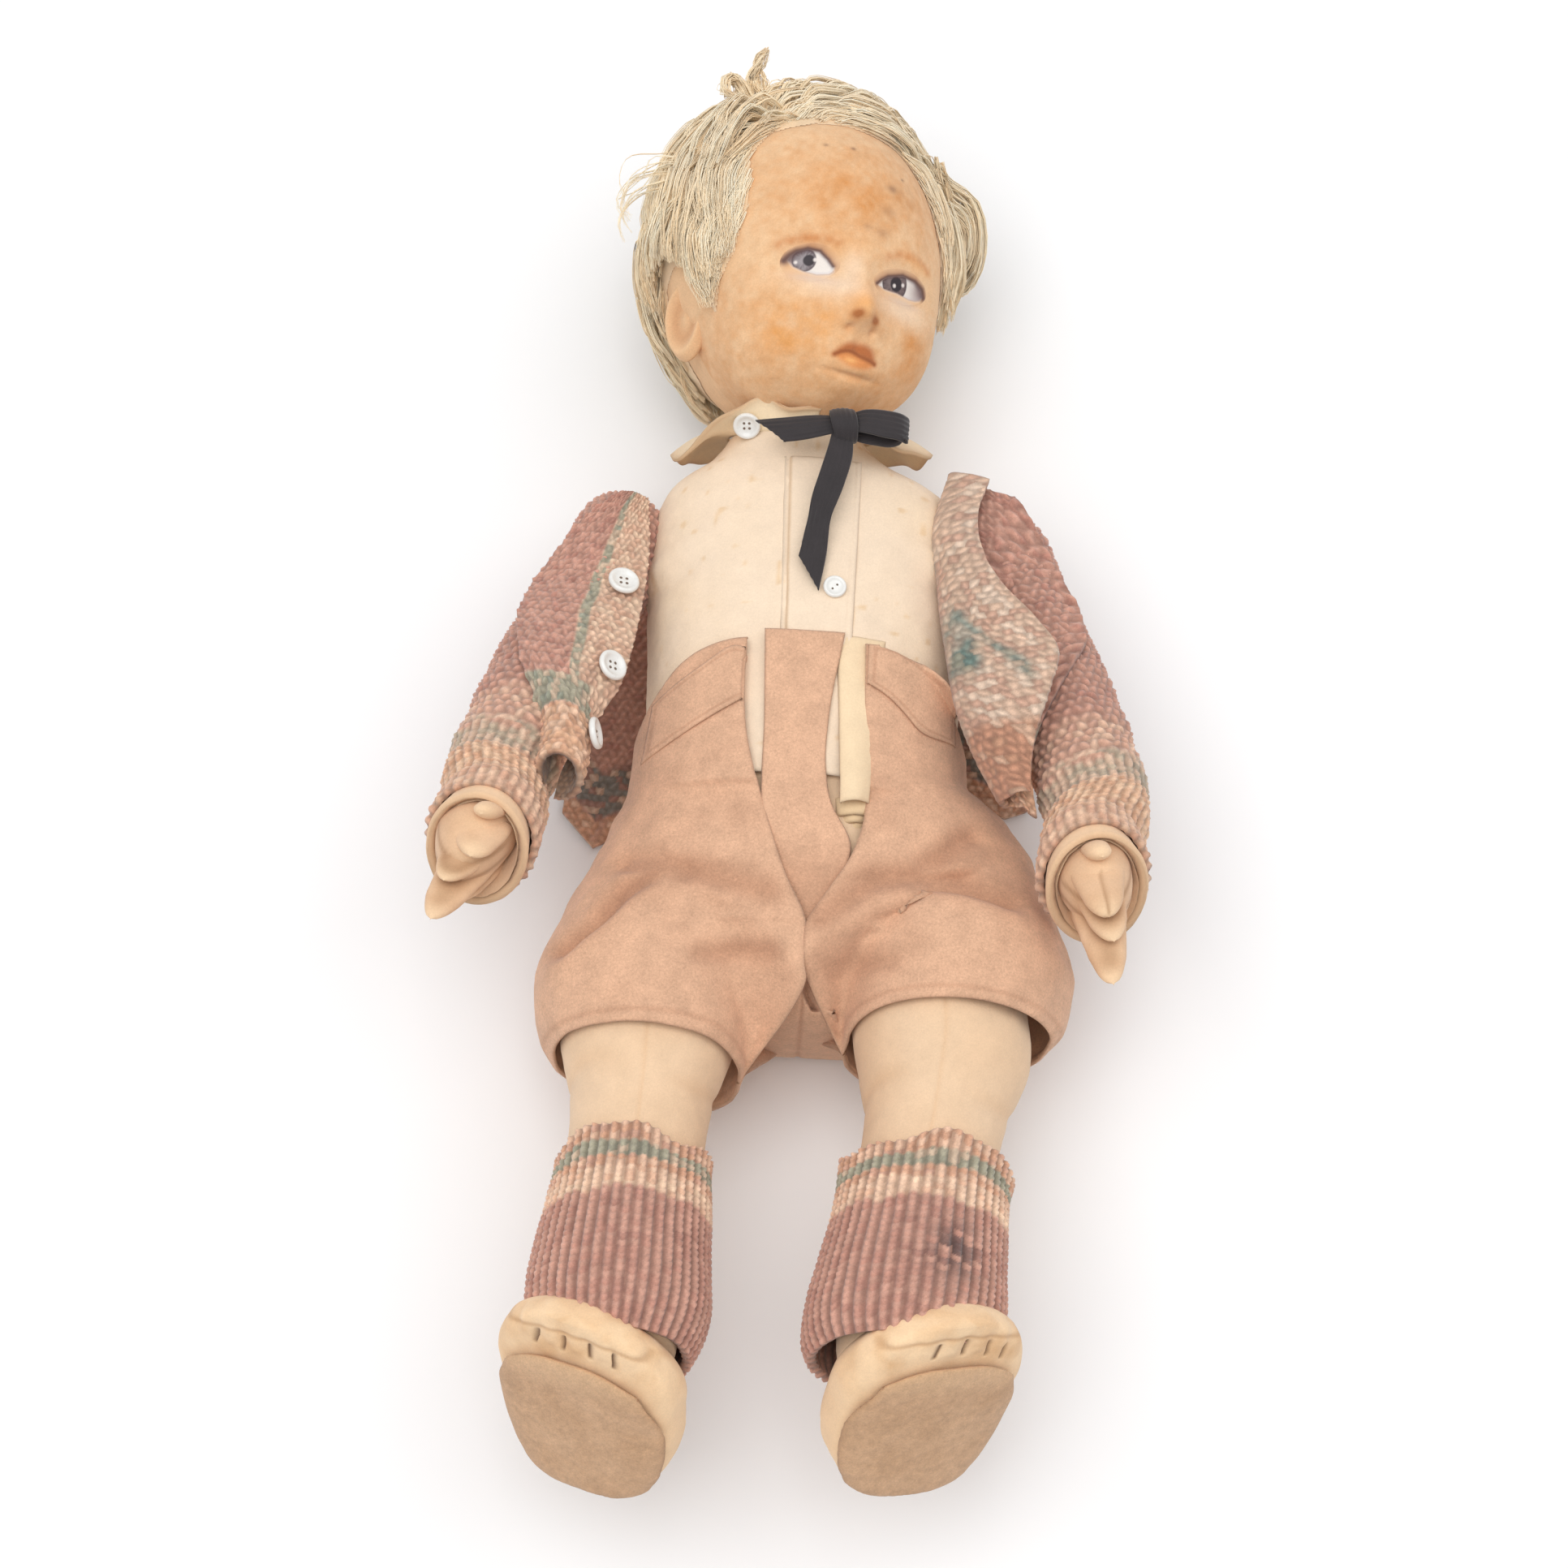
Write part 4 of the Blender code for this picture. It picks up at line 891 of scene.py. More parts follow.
def rib_knit(u, v, pitch, tall):
    """Height of ribbed knitting and the stitch each place belongs to."""
    col = np.floor(u / pitch + 0.5)
    x = u - col * pitch
    y = v + np.abs(x) * 0.9 + 0.25 * tall * noise(joined(col, v * 0.1, col * 0), 1.0, 5, 1)
    row = np.floor(y / tall)
    f = y / tall - row
    ridge = 0.62 * np.cos(2 * np.pi * x / pitch)
    stitch = 0.5 * (np.sin(np.pi * f) - 0.5) * step(np.cos(2 * np.pi * x / pitch), -0.8, 0.6)
    split = -0.22 * bell(x, 0.28)
    return ridge + stitch + split, col, row


def moss_knit(u, v, pitch, tall):
    """Height of pebbled knitting, slanting loops set brick-wise, and the stitch each place belongs to."""
    bend = joined(u / pitch, v / tall, 0 * u)
    u = u + 0.22 * pitch * noise(bend, 1.3, 7, 1)
    v = v + 0.22 * tall * noise(bend + 40.0, 1.3, 8, 1)
    row = np.floor(v / tall)
    f = v / tall - row - 0.5
    shift = 0.5 * (row % 2)
    col = np.floor(u / pitch + shift)
    g = u / pitch + shift - col - 0.5
    lean = np.where((col + row) % 2 > 0, 0.45, -0.45)
    loop = np.exp(-((g + lean * f) / 0.33) ** 2 - (f / 0.40) ** 2)
    return 0.95 * loop - 0.45, col, row


def yarn(col, row, seed, *shares):
    """Colour of each stitch, picked from (share, colour) pairs."""
    pick = cell_value(joined(col, row, col * 0), seed)
    out = np.zeros(col.shape + (3,))
    low = np.zeros(col.shape)
    for share, colour in shares:
        high = low + share
        out = np.where(((pick >= low) & (pick < high + 1e-6))[..., None], colour, out)
        low = high
    mean = sum(share * np.asarray(colour) for share, colour in shares) / sum(share for share, _ in shares)
    shade = cell_value(joined(col, row, col * 0 + 3), seed + 9)
    return mix(out, mean, 0.5) * (0.93 + 0.14 * shade)[..., None]


def knit_piece(name, grid, height, tint, thick, body, wrap=False, flip=False, behind=0.85):
    """Knitted cloth from a grid, the height of its stitches and their colours, with painted shade in the
    valleys between stitches and on the inner face, set by behind.
    """
    n = grid_normals(grid, wrap) * (-1.0 if flip else 1.0)
    verts, faces = shell(grid, thick, wrap, flip)
    flat = grid.reshape(-1, 3)
    verts[:len(flat)] = (grid + n * height[..., None]).reshape(-1, 3)
    verts[len(flat):] = (grid - n * thick + n * 0.4 * height[..., None]).reshape(-1, 3)
    # painted shade: darker in the valleys between stitches, lighter on their tops
    deep = step(height, -0.62, 0.5)[..., None]
    shade = tint * (0.68 + 0.52 * deep) * (1 + 0.2 * noise(grid, 1.0, 99, 2))[..., None]
    shade = shade.reshape(-1, 3)
    # painted shade: the inner face is a darker copy, scaled by behind
    return piece(name, verts, faces, KNIT, body, np.concatenate([shade, shade * behind]),
                 np.concatenate([flat, flat + 5.0]))


def mirrored(place, side):
    """Place of the left side, carried to the given side."""
    return place * np.array([side, 1, 1])


def leg_centre(side, s, inward=0.0):
    """Middle of the leg at each way along it."""
    s = np.asarray(s, float)
    aside = np.interp(s, *LEG_LEAN[side]) - side * np.broadcast_to(inward, s.shape)
    return mirrored(LEG_TOP, side) + LEG_AXIS * s[:, None] + X_AXIS * aside[:, None]


def build_leg(name, side, body):
    rows, around = 150, 160
    s = np.linspace(-21, 129, rows)
    inward, w, h = table(LEG_ROWS, s)
    grid = ring_grid(leg_centre(side, s, inward), w, h, X_AXIS, LEG_UP, around)
    t = full_turn(around)[None, :]
    seam = bell(t - np.pi / 2 - 0.03 * side, 0.025) + np.zeros((rows, 1))
    crease = bell(s[:, None] - 57 - 3 * np.sin(t * 2), 2.2) * step(np.abs(np.cos(t)), 0.2, 0.9)
    bump = 0.4 * noise(grid, 16.0, 71, 2) + 0.12 * noise(grid, 3.0, 73, 2) - 0.45 * seam - 0.6 * crease
    grid = grid + outward(grid) * bump[..., None]
    verts, faces = capped(grid)
    blot = np.clip(0.5 + noise(grid, 18.0, 75, 3), 0, 1)
    # darker blotches, the seam line, and painted shade in the crease
    tint = with_poles(mix_at(SKIN, SKIN_DEEP, 0.30 * blot + 0.35 * seam + 0.3 * crease))
    leg = piece("leg_felt_" + name, verts, faces, FELT_BODY, body, tint)
    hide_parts("leg_" + name)


def foot_place(side, s, x, rise):
    """Point of the foot: s along the sole from the heel, x across, rise away from the sole's plane."""
    c, r = math.cos(FOOT_ROLL), math.sin(FOOT_ROLL) * side
    out = SOLE_OUT * c + X_AXIS * r
    wide = X_AXIS * c - SOLE_OUT * r
    c, r = math.cos(FOOT_TURN[side]), math.sin(FOOT_TURN[side]) * side
    length = HEEL_AXIS * c + wide * r
    wide = wide * c - HEEL_AXIS * r
    middle = FOOT_AT[side] - SOLE_OUT * 11.0 + HEEL_AXIS * 12.0
    s, x, rise = [np.asarray(a, float)[..., None] for a in (s, x, rise)]
    return middle + length * (s - 12.0) + wide * x - out * (rise - 11.0)


def foot_under(s, share):
    """Half width and rise of the foot's underside, share counted from its middle to its edge."""
    w, tall = table(FOOT_ROWS, s)
    c = np.abs(share) ** (1 / 0.92)
    return w, tall / 2 - 1.5 - tall / 2 * np.sqrt(np.clip(1 - c * c, 0, 1)) ** 0.45


def build_foot(name, side, body):
    rows, around = 150, 300
    s = np.linspace(-4.5, 51.5, rows)
    w, tall = table(FOOT_ROWS, s)
    t = full_turn(around)
    c, sn = np.cos(t), np.sin(t)
    flat = np.where(sn < 0, -np.abs(sn) ** 0.45, sn)
    x = w[:, None] * np.sign(c) * np.abs(c) ** 0.92
    rise = (tall / 2 - 1.5)[:, None] + (tall / 2)[:, None] * flat[None, :]
    down = s[:, None]
    grid = foot_place(side, down + 0 * c, x, rise)
    under = step(sn, 0.2, -0.1)[None, :]
    toes = np.zeros((rows, around))
    for at, back in TOE_STITCHES[side]:
        line = bell(x - at - 0.1 * (down - 44), 0.55)
        line = line * step(down, 40.6 + back, 41.4 + back) * step(down, 46.2 + back, 45.0 + back)
        toes = np.maximum(toes, line)
    toes = toes * under
    puff = 0.5 * np.cos((x - TOE_STITCHES[side][1][0]) * 2 * np.pi / 7.2)
    puff = puff * step(down, 41.5, 44) * step(down, 50, 46) * under
    ledge = bell(down - 47.6 + 0.012 * x * x, 0.6) * under
    bare = 1 - under * step(down, 43, 39)
    bump = 0.15 * noise(grid, 4.0, 81, 2) + 0.4 * bare * noise(grid, 14.0, 83, 2)
    bump = bump - 1.0 * toes - puff - 0.35 * ledge
    grid = grid + outward(grid) * bump[..., None]
    verts, faces = capped(grid)
    dirt = np.clip(noise(grid, 6.0, 85, 3) + 0.3, 0, 1) * (0.35 + 0.65 * step(down, 28, 42))
    tint = mix_at(lin(244, 210, 170), lin(214, 164, 112), 0.75 * dirt)
    tint = mix_at(tint, lin(178, 132, 90), 0.5 * ledge)
    tint = with_poles(mix_at(tint, lin(98, 66, 44), 0.9 * toes))
    foot = piece("foot_felt_" + name, verts, faces, FELT_BODY, body, tint)


def build_sole(name, side, body):
    rows, cols = 96, 90
    v = np.linspace(0, 1, rows)[:, None]
    u = np.linspace(-1, 1, cols)[None, :]
    down = -3.6 + v * (36.5 + 6.0 * (1 - np.abs(u) ** 3))
    share = u * (0.94 - 0.20 * step(v, 0.55, 1.0) ** 1.5)
    half, rise = foot_under(down, share)
    rim = np.minimum((1 - np.abs(u)) * half, np.minimum(down + 3.6, (1 - v) * 42.0) + 0.05)
    rise = rise - 0.65 - 0.45 * np.sqrt(np.clip(rim / 1.6, 0, 1)) - 0.25 * step(v, 0.75, 0.95)
    grid = foot_place(side, down, half * share, rise)
    n = noise(grid, 1.2, 87, 2)
    grid = grid + SOLE_OUT * (0.12 * n + 0.25 * noise(grid, 9.0, 88, 2))[..., None]
    verts, faces = shell(grid, SOLE_THICK, False, True)
    wear = np.clip(0.5 + 0.8 * noise(grid, 8.0, 89, 3), 0, 1)
    tint = mix_at(lin(204, 165, 130), lin(184, 144, 108), 0.6 * wear) * (1 + 0.12 * n[..., None])
    tint = mix_at(tint, lin(178, 136, 98), 0.4 * bell(rim, 0.6))
    tint = mix_at(tint, lin(226, 188, 148), 0.45 * step(down, 28, 37)).reshape(-1, 3)
    obj = piece("sole_felt_" + name, verts, faces, FELT_SOLE, body, np.concatenate([tint, tint]))
    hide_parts("sole_" + name)


def by_column(col):
    """Places for noise that is the same all along a column of stitches."""
    return joined(col, col * 0, col * 0)


def build_sock(name, side, body):
    rows, around = 140, 370
    first = SOCK_TOP[side]
    s = np.linspace(first, SOCK_END[side], rows)
    w, h = table(SOCK_ROWS, s)
    grid = ring_grid(leg_centre(side, s), w + SOCK_EASE[side], h, X_AXIS, LEG_UP, around)
    t = full_turn(around)[None, :]
    s = s[:, None]
    edge = step(s, first + 12, first)
    sag = LEG_AXIS * (1.6 * np.sin(3 * t + side) * edge + 0.8 * np.sin(7 * t + 1.0) * edge)[..., None]
    grid = grid + sag + outward(grid) * (0.7 * noise(grid, 13.0, 91, 2))[..., None]
    u = t / (2 * np.pi) * SOCK_ROUND + 0 * s
    v = s + 0.5 * noise(joined(u * 0.2, s * 0.05 + 0 * u, u * 0), 1.0, 93, 2) + 0 * u
    height, col, row = rib_knit(u, v, SOCK_ROUND / SOCK_RIBS, 1.8)
    d = v - first
    marl = yarn(col, row, 3, (0.45, RUST), (0.35, BEIGE), (0.2, MAUVE))
    green = yarn(col, row, 5, (0.6, GREEN), (0.2, BEIGE), (0.2, lin(122, 126, 110)))
    pale = yarn(col, row, 7, (0.55, BEIGE), (0.25, lin(208, 160, 132)), (0.2, lin(236, 206, 176)))
    main = yarn(col, row, 9, (0.6, MAUVE), (0.3, lin(176, 126, 110)), (0.1, lin(168, 118, 104)))
    tint = mix_at(marl, green, step(d, 4.2, 4.8))
    tint = mix_at(tint, marl, step(d, 8.2, 8.8))
    tint = mix_at(tint, pale, step(d, 11.0, 12.2))
    tint = mix_at(tint, main, step(d + 1.2 * noise(by_column(col), 1.5, 95, 1), 17.5, 19.0))
    if side > 0:
        mend = spot(joined((t - 1.15) * 19 + 0 * s, s - 106 + 0 * t, 1 + 0 * u), 0, 0, 5.6, 7.4)
        tint = mix_at(tint, lin(78, 60, 60), 0.85 * mend * (cell_value(joined(col, row, col), 4) > 0.25))
    obj = knit_piece("sock_knit_" + name, grid, height, tint, SOCK_THICK, body, wrap=True)
    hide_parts("sock_" + name)


for side_name, side_sign in SIDES.items():
    leg_body = "leg_" + side_name
    build_leg(side_name, side_sign, leg_body)
    build_foot(side_name, side_sign, leg_body)
    build_sole(side_name, side_sign, leg_body)
    build_sock(side_name, side_sign, leg_body)


# Arms, hands, sleeves and cuffs
# Rows of the arm and of its sleeve: way along it, half width, half depth
ARM_ROWS = np.array([(-15, 7, 8), (-10, 11, 12), (0, 12, 13), (40, 9.8, 10.8), (84, 9, 10), (97, 8.5, 9),
                     (101, 9.6, 10.6), (107, 9.8, 11.2), (112, 8.4, 10), (117, 5.6, 7), (120, 3, 4)], float)
SLEEVE_ROWS = np.array([(-17, 8, 9), (-14, 11.2, 12.2), (-8, 13.4, 14.4), (0, 13.8, 15), (42, 14.4, 14.6),
                        (76, 14.6, 14.6), (90, 14.2, 14.6), (100, 14.4, 15.2), (108.5, 14.8, 15.9)], float)
SLEEVE_ROUND = 84.0
CUFF_SLANT = 7.0
# End of each finger and places of each thumb: way along the arm, rise and shift inward
FINGERS = {"right": [(117.8, 9.0, 1.2), (124.0, 4.0, -3.5), (133.2, -1.0, -3.5), (122.0, -6.0, -1.0)],
           "left": [(124.2, 9.0, 1.5), (128.5, 4.0, 1.2), (138.0, -1.0, 3.8), (130.0, -6.0, 2.0)]}
THUMBS = {"right": [(100.5, 8.0, 1.6), (104.0, 12.0, 1.4), (108.0, 14.5, 0.3)],
          "left": [(101.0, 8.0, 0.4), (105.0, 12.2, 0.0), (109.5, 14.5, -0.7)]}


def arm_frame(side):
    """Start of an arm, its axis, the way up from it and the way across it."""
    axis = unit([0.251 * side, -0.92, 0.3015])
    up = unit(Z_AXIS - axis * axis[2])
    return np.array([56.0 * side, 74.0, 36.0]), axis, up, np.cross(up, axis)


def hand_turn(side, s):
    """How far a hand stands outward of its arm's straight line; the left one turns in."""
    return (-4.0 if side > 0 else 0.0) * step(s, 82, 108)


def sleeve_bow(side, s):
    """How far a sleeve stands outward of its arm's straight line about the elbow."""
    return 3.0 * step(s, 10, 45) * step(s, 104, 84) + hand_turn(side, s)


def arm_line(side, s, aside):
    """Places along an arm, moved outward by aside."""
    start, axis, _, across = arm_frame(side)
    return start + axis * s[:, None] + across * side * aside[:, None]


def finger(middle, wide, tall, across, up):
    """Stuffed finger along a line of points, rounded at its tip."""
    rows, around = 36, 40
    middle = along(middle, rows)
    t = np.linspace(0, 1, rows)
    marks = np.linspace(0, 1, len(wide))
    close = np.sqrt(np.clip(1 - np.clip((t - 0.72) / 0.28, 0, 1) ** 2, 0.002, 1))
    half_w, half_h = spline(marks, wide, t) * close, spline(marks, tall, t) * close
    return capped(ring_grid(middle, half_w, half_h, across, up, around))


def hand_parts(name, side):
    """Meshes of the arm, the fingers and the thumb, and the tips of the last two."""
    start, axis, up, across = arm_frame(side)
    s = np.linspace(-15, 120, 120)
    w, h = table(ARM_ROWS, s)
    aside = hand_turn(side, s) + (2.0 * step(s, 96, 108) if side < 0 else 0.0)
    parts = [capped(ring_grid(arm_line(side, s, aside), w, h, across, up, 72))]

    def at(s, rise, over):
        return start + axis * s + up * rise + across * side * (hand_turn(side, s) - over)

    tips = []
    for k, (end, rise, over) in enumerate(FINGERS[name]):
        low = 5.6 - 4.6 * k
        bend = at(mix(103, end, 0.55), mix(low, rise, 0.6), 0.5 * over)
        tips.append(at(end, rise, over))
        parts.append(finger([at(103, low, 0.0), bend, tips[-1]], (7.8, 7.0, 5.4, 3.8), (3.3, 3.2, 2.8, 2.3),
                            across, up))
    thumb = [at(*place) for place in THUMBS[name]]
    parts.append(finger(thumb, (3.2, 3.7, 3.5, 3.0), (2.8, 3.2, 3.0, 2.6), across, up))
    tips.append(thumb[-1])
    return parts, tips


def build_arm(name, side, body):
    start, axis, up, across = arm_frame(side)
    parts, tips = hand_parts(name, side)
    verts, faces = merged(parts)
    rel = verts - start
    s = rel @ axis
    rise = rel @ up
    over = hand_turn(side, s) - rel @ across * side
    verts = verts + unit(rel - s[:, None] * axis) * (0.25 * noise(verts, 5.0, 101, 2))[:, None]
    blot = np.clip(0.45 + 0.8 * noise(verts, 7.0, 103, 3), 0, 1)
    tint = mix_at(lin(228, 190, 155), lin(202, 155, 114), 0.55 * blot)
    near = np.min([np.linalg.norm(verts - tip, axis=1) for tip in tips], axis=0)
    tint = mix_at(tint, lin(247, 215, 176), 0.75 * bell(near, 4.2))
    # painted shade in the gaps between the stacked fingers; on the left hand also between the two fingers
    # side by side
    crease = np.zeros(len(verts))
    for k in range(3):
        between = np.interp(s, [103, 126], [3.3 - 4.6 * k, 6.5 - 5.0 * k])
        crease = np.maximum(crease, bell(rise - between, 0.8) * step(s, 104, 109))
    if side > 0:
        middle = bell(over - 0.1 * (s - 110), 0.5) * (rise > 5)
        crease = np.maximum(crease, middle * step(s, 110, 112) * step(s, 126, 123))
    tint = mix_at(tint, lin(150, 104, 66), 0.6 * crease)
    arm = piece("arm_felt_" + name, verts, faces, FELT_BODY, body, tint)
    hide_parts("arm_" + name, "thumb_" + name)


def build_cuff(name, side, body):
    rows, around = 40, 120
    start, axis, up, across = arm_frame(side)
    s = np.linspace(100, 111.5, rows)
    grow = np.interp(s, [100, 104.5, 110, 111.5], [-1.6, -0.6, 1.0, 0.6])
    line = start + axis * (s - 1.5)[:, None] + across * side * hand_turn(side, s)[:, None]
    grid = ring_grid(line, 12.9 + grow, 13.9 + grow, across, up, around)
    grid = grid - axis * (CUFF_SLANT * np.sin(full_turn(around)))[None, :, None]
    edge = 0.6 * step(s, 108, 111.5)[:, None] + np.zeros((rows, around))
    tint = mix_at(lin(236, 203, 168), lin(218, 176, 136), edge)
    cuff = felt_sheet("shirt_cuff_" + name, grid, CUFF_THICK, FELT_SHIRT, body, tint, 105,
                      wrap=True)


def build_sleeve(name, side, body):
    rows, around = 300, 220
    _, axis, up, across = arm_frame(side)
    s = np.linspace(-17, 108.5, rows)
    w, h = table(SLEEVE_ROWS, s)
    grid = ring_grid(arm_line(side, s, sleeve_bow(side, s)), w, h, across, up, around)
    t = full_turn(around)[None, :]
    s = s[:, None]
    grid = grid - axis * ((CUFF_SLANT * np.sin(t) + 3.2) * step(s, 78, 106))[..., None]
    folds = 0.8 * noise(grid, 17.0, 107, 2) + 0.5 * np.sin(s * 0.42 + 2.0 * np.sin(t)) * step(s, 30, 70)
    grid = grid + outward(grid) * folds[..., None]
    u = t / (2 * np.pi) * SLEEVE_ROUND + 0 * s
    v = s + 0.8 * noise(joined(u * 0.1, s * 0.03 + 0 * u, 0 * u), 1.0, 109, 1) + 0 * u
    pebble, col, row = moss_knit(u, v, 2.8, 2.5)
    rib, rib_col, rib_row = rib_knit(u, v, 2.8, 1.8)
    k = step(v, 74, 80)
    height = mix(1.15 * pebble, 0.6 * rib + 0.45 * pebble, k)
    col = np.where(k > 0.5, rib_col + 500, col)
    row = np.where(k > 0.5, rib_row + 500, row)
    main = yarn(col, row, 11, (0.55, MAUVE), (0.3, MAUVE_MID), (0.15, lin(170, 118, 104)))
    fleck = yarn(col, row, 13, (0.4, BEIGE), (0.35, lin(200, 152, 130)), (0.25, MAUVE))
    green = yarn(col, row, 15, (0.35, GREEN), (0.45, BEIGE), (0.2, lin(96, 120, 112)))
    pale = yarn(col, row, 17, (0.4, lin(214, 172, 142)), (0.3, RUST), (0.3, lin(226, 194, 164)))
    d = v + 2.5 * noise(by_column(col * 0.4), 1.0, 111, 1)
    tint = mix_at(main, fleck, step(d, 62, 70))
    tint = mix_at(tint, green, 0.75 * step(d, 77, 79) * step(d, 87, 85))
    tint = mix_at(tint, pale, step(d, 85, 88))
    tint = mix_at(tint, fleck, 0.5 * step(d, 98, 104))
    sleeve = knit_piece("sleeve_knit_" + name, grid, height, tint, SLEEVE_THICK, body, wrap=True)
    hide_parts("sleeve_" + name, "cuff_" + name)


for side_name, side_sign in SIDES.items():
    arm_body = "arm_" + side_name
    build_arm(side_name, side_sign, arm_body)
    build_cuff(side_name, side_sign, arm_body)
    build_sleeve(side_name, side_sign, arm_body)


# Shorts
# Rows of the waist: y, half width, half depth, height of its middle
WAIST_ROWS = np.array([(44, 43.2, 30.4, 35.6), (20, 43.0, 30.6, 36.1), (5, 45.5, 33.0, 34.4),
                       (-8, 48.5, 33.6, 34.6), (-35, 54, 33.8, 34.4), (-64, 56, 33.0, 33.6),
                       (-80, 56, 33.0, 33.6)], float)
# Rows of a leg of the shorts: y, shift outward, half width, half depth, height of its middle
LEGHOLE_ROWS = np.array([(44, 20, 25, 30, 36), (-4.8, 22, 26, 31, 36), (-20, 26, 28, 31.6, 36.8),
                         (-44, 34, 29.4, 31, 38.4), (-66, 38.5, 28.6, 28.6, 41.0),
                         (-80, 39, 28, 28, 42.0)], float)
FRONT_EDGE = {"right": [(44, -15.2), (35.7, -15.1), (18, -14.7), (4.3, -12.2), (-11.4, -8.1), (-27.8, -2.2),
                        (-40.2, 3.8), (-51, 3.9), (-62, 4.2), (-80, 4.2)],
              "left": [(44, 14.9), (38.8, 14.9), (19.9, 15.7), (3.8, 16.7), (-9.9, 17.7), (-22.3, 14.3),
                       (-31.4, 9.0), (-40.2, 3.8), (-51, 3.9), (-62, 4.2), (-80, 4.2)]}
HEM = {"right": -70.5, "left": -59.0}
SEAM_END = {"right": -55.0, "left": -51.0}
SWELL = {"right": ([-76, -72, -67, -58, -49, -35, -26, -21, -10, 0, 44],
                   [-12, -8, -3, 0.2, 2.4, 3.3, 3.8, 3.5, 2, 1, 0]),
         "left": ([-80, -64, -60, -55, -50, -42, -28, -18, -10, -4.7, 1.6, 7, 14, 44],
                  [-3, -1, 3.5, 8, 10, 14, 15.5, 16, 16, 13, 8.5, 3.4, 0.8, 0])}
INNER_SHIFT = {"right": 0.0, "left": 7.0}
HEM_DROP = {"right": 0.28, "left": 0.34}
# Creases of each half: line on its front, depth and width
CREASES = {"right": [([(-59.6, -49.4), (-52.7, -43.2), (-44.2, -32.8), (-37.1, -27.4)], 2.2, 2.4),
                     ([(-44.6, -23.8), (-31.5, -25.9), (-16.4, -29.9), (-7.1, -32.3)], 1.8, 2.8),
                     ([(-22.5, -49.9), (-13.4, -47.8), (-6.2, -48.9)], 1.1, 2.0)],
           "left": [([(8.1, -38.4), (20.6, -27.9), (33.5, -25.2), (46.5, -26.4), (57.7, -29.6)], 1.9, 3.2),
                    ([(34.3, -22.6), (38.8, -19.0), (47.8, -10.6)], 1.5, 2.8),
                    ([(12, -51), (18, -47.5), (26, -49)], 0.7, 2.4)]}
SHORTS_TREES = []


def clear_of_body(p, side, gap):
    """Moves cloth out of the stuffed torso and leg it lies on."""
    y = p[..., 1]
    w, d, z, x = table(SHIRT_ROWS, y)
    grow = gap + np.where(y > -2, 3.4, 1.2)
    q = joined((p[..., 0] - x) / (w + grow), (p[..., 2] - z) / (d + grow))
    f = np.maximum(np.linalg.norm(q, axis=-1), 0.2)
    k = np.where((f < 1) & (y > -40), 1 / f, 1.0)
    p = joined(x + (p[..., 0] - x) * k, y, z + (p[..., 2] - z) * k)
    rel = p - mirrored(LEG_TOP, side)
    s = rel @ LEG_AXIS
    inward, w, h = table(LEG_ROWS, s)
    a = rel[..., 0] + inward * side - np.interp(s, *LEG_LEAN[side])
    b = rel @ LEG_UP
    f = np.maximum(np.hypot(a / (w + gap + 1.2), b / (h + gap + 1.2)), 0.2)
    k = np.where((f < 1) & (s > -14), 1 / f - 1, 0.0)
    return p + X_AXIS * (a * k)[..., None] + LEG_UP * (b * k)[..., None]


def ease(g, own):
    """Moves the inner values of a grid toward their four neighbours; own is a value's own weight."""
    near = g[1:-1, 1:-1] * own + g[:-2, 1:-1] + g[2:, 1:-1] + g[1:-1, :-2] + g[1:-1, 2:]
    g[1:-1, 1:-1] = near / (own + 4)


def shorts_form(name, side, u, v):
    """Half of the shorts before its creases: the waist, passing into the leg below the seam."""
    hem = HEM[name]
    top = spline([-1, 0, 0.45, 0.71, 0.9, 1.0], [19, 17, 20, 27.5, 35.5, 39.5], np.sin(np.pi / 2 - np.pi * u))
    y = mix(top, hem, v)
    edge = np.array(FRONT_EDGE[name], float)
    w, d, z = table(WAIST_ROWS, y)
    swell = np.interp(y, *SWELL[name])
    w = w + swell
    first = np.arccos(np.clip(side * spline(edge[:, 0], edge[:, 1], y) / w, -0.99, 0.99))
    turn = mix(first, -np.pi / 2, u)
    waist = joined(side * w * np.cos(turn), y + 0 * turn, z + d * np.sin(turn))
    lx, lw, ld, lz = table(LEGHOLE_ROWS, y)
    inner = INNER_SHIFT[name] * step(y, -20, -50)
    lx, lw = lx + (swell + inner) / 2, lw + (swell - inner) / 2
    phi = np.pi * (1 - 2 * u) + 0.0 * v
    leg = joined(side * (lx + lw * np.cos(phi)), y + 0 * phi, lz + ld * np.sin(phi))
    outer = np.sin(np.pi * u) ** 0.8
    drop = mix(HEM_DROP[name], 0.13, outer)
    leg[..., 1] -= drop * (lz + ld - leg[..., 2]) * step(y, -10, -50)
    k = step(y, mix(SEAM_END[name], 0.0, outer), mix(hem + 0.5, hem + 24, outer))[..., None]
    return waist * (1 - k) + leg * k


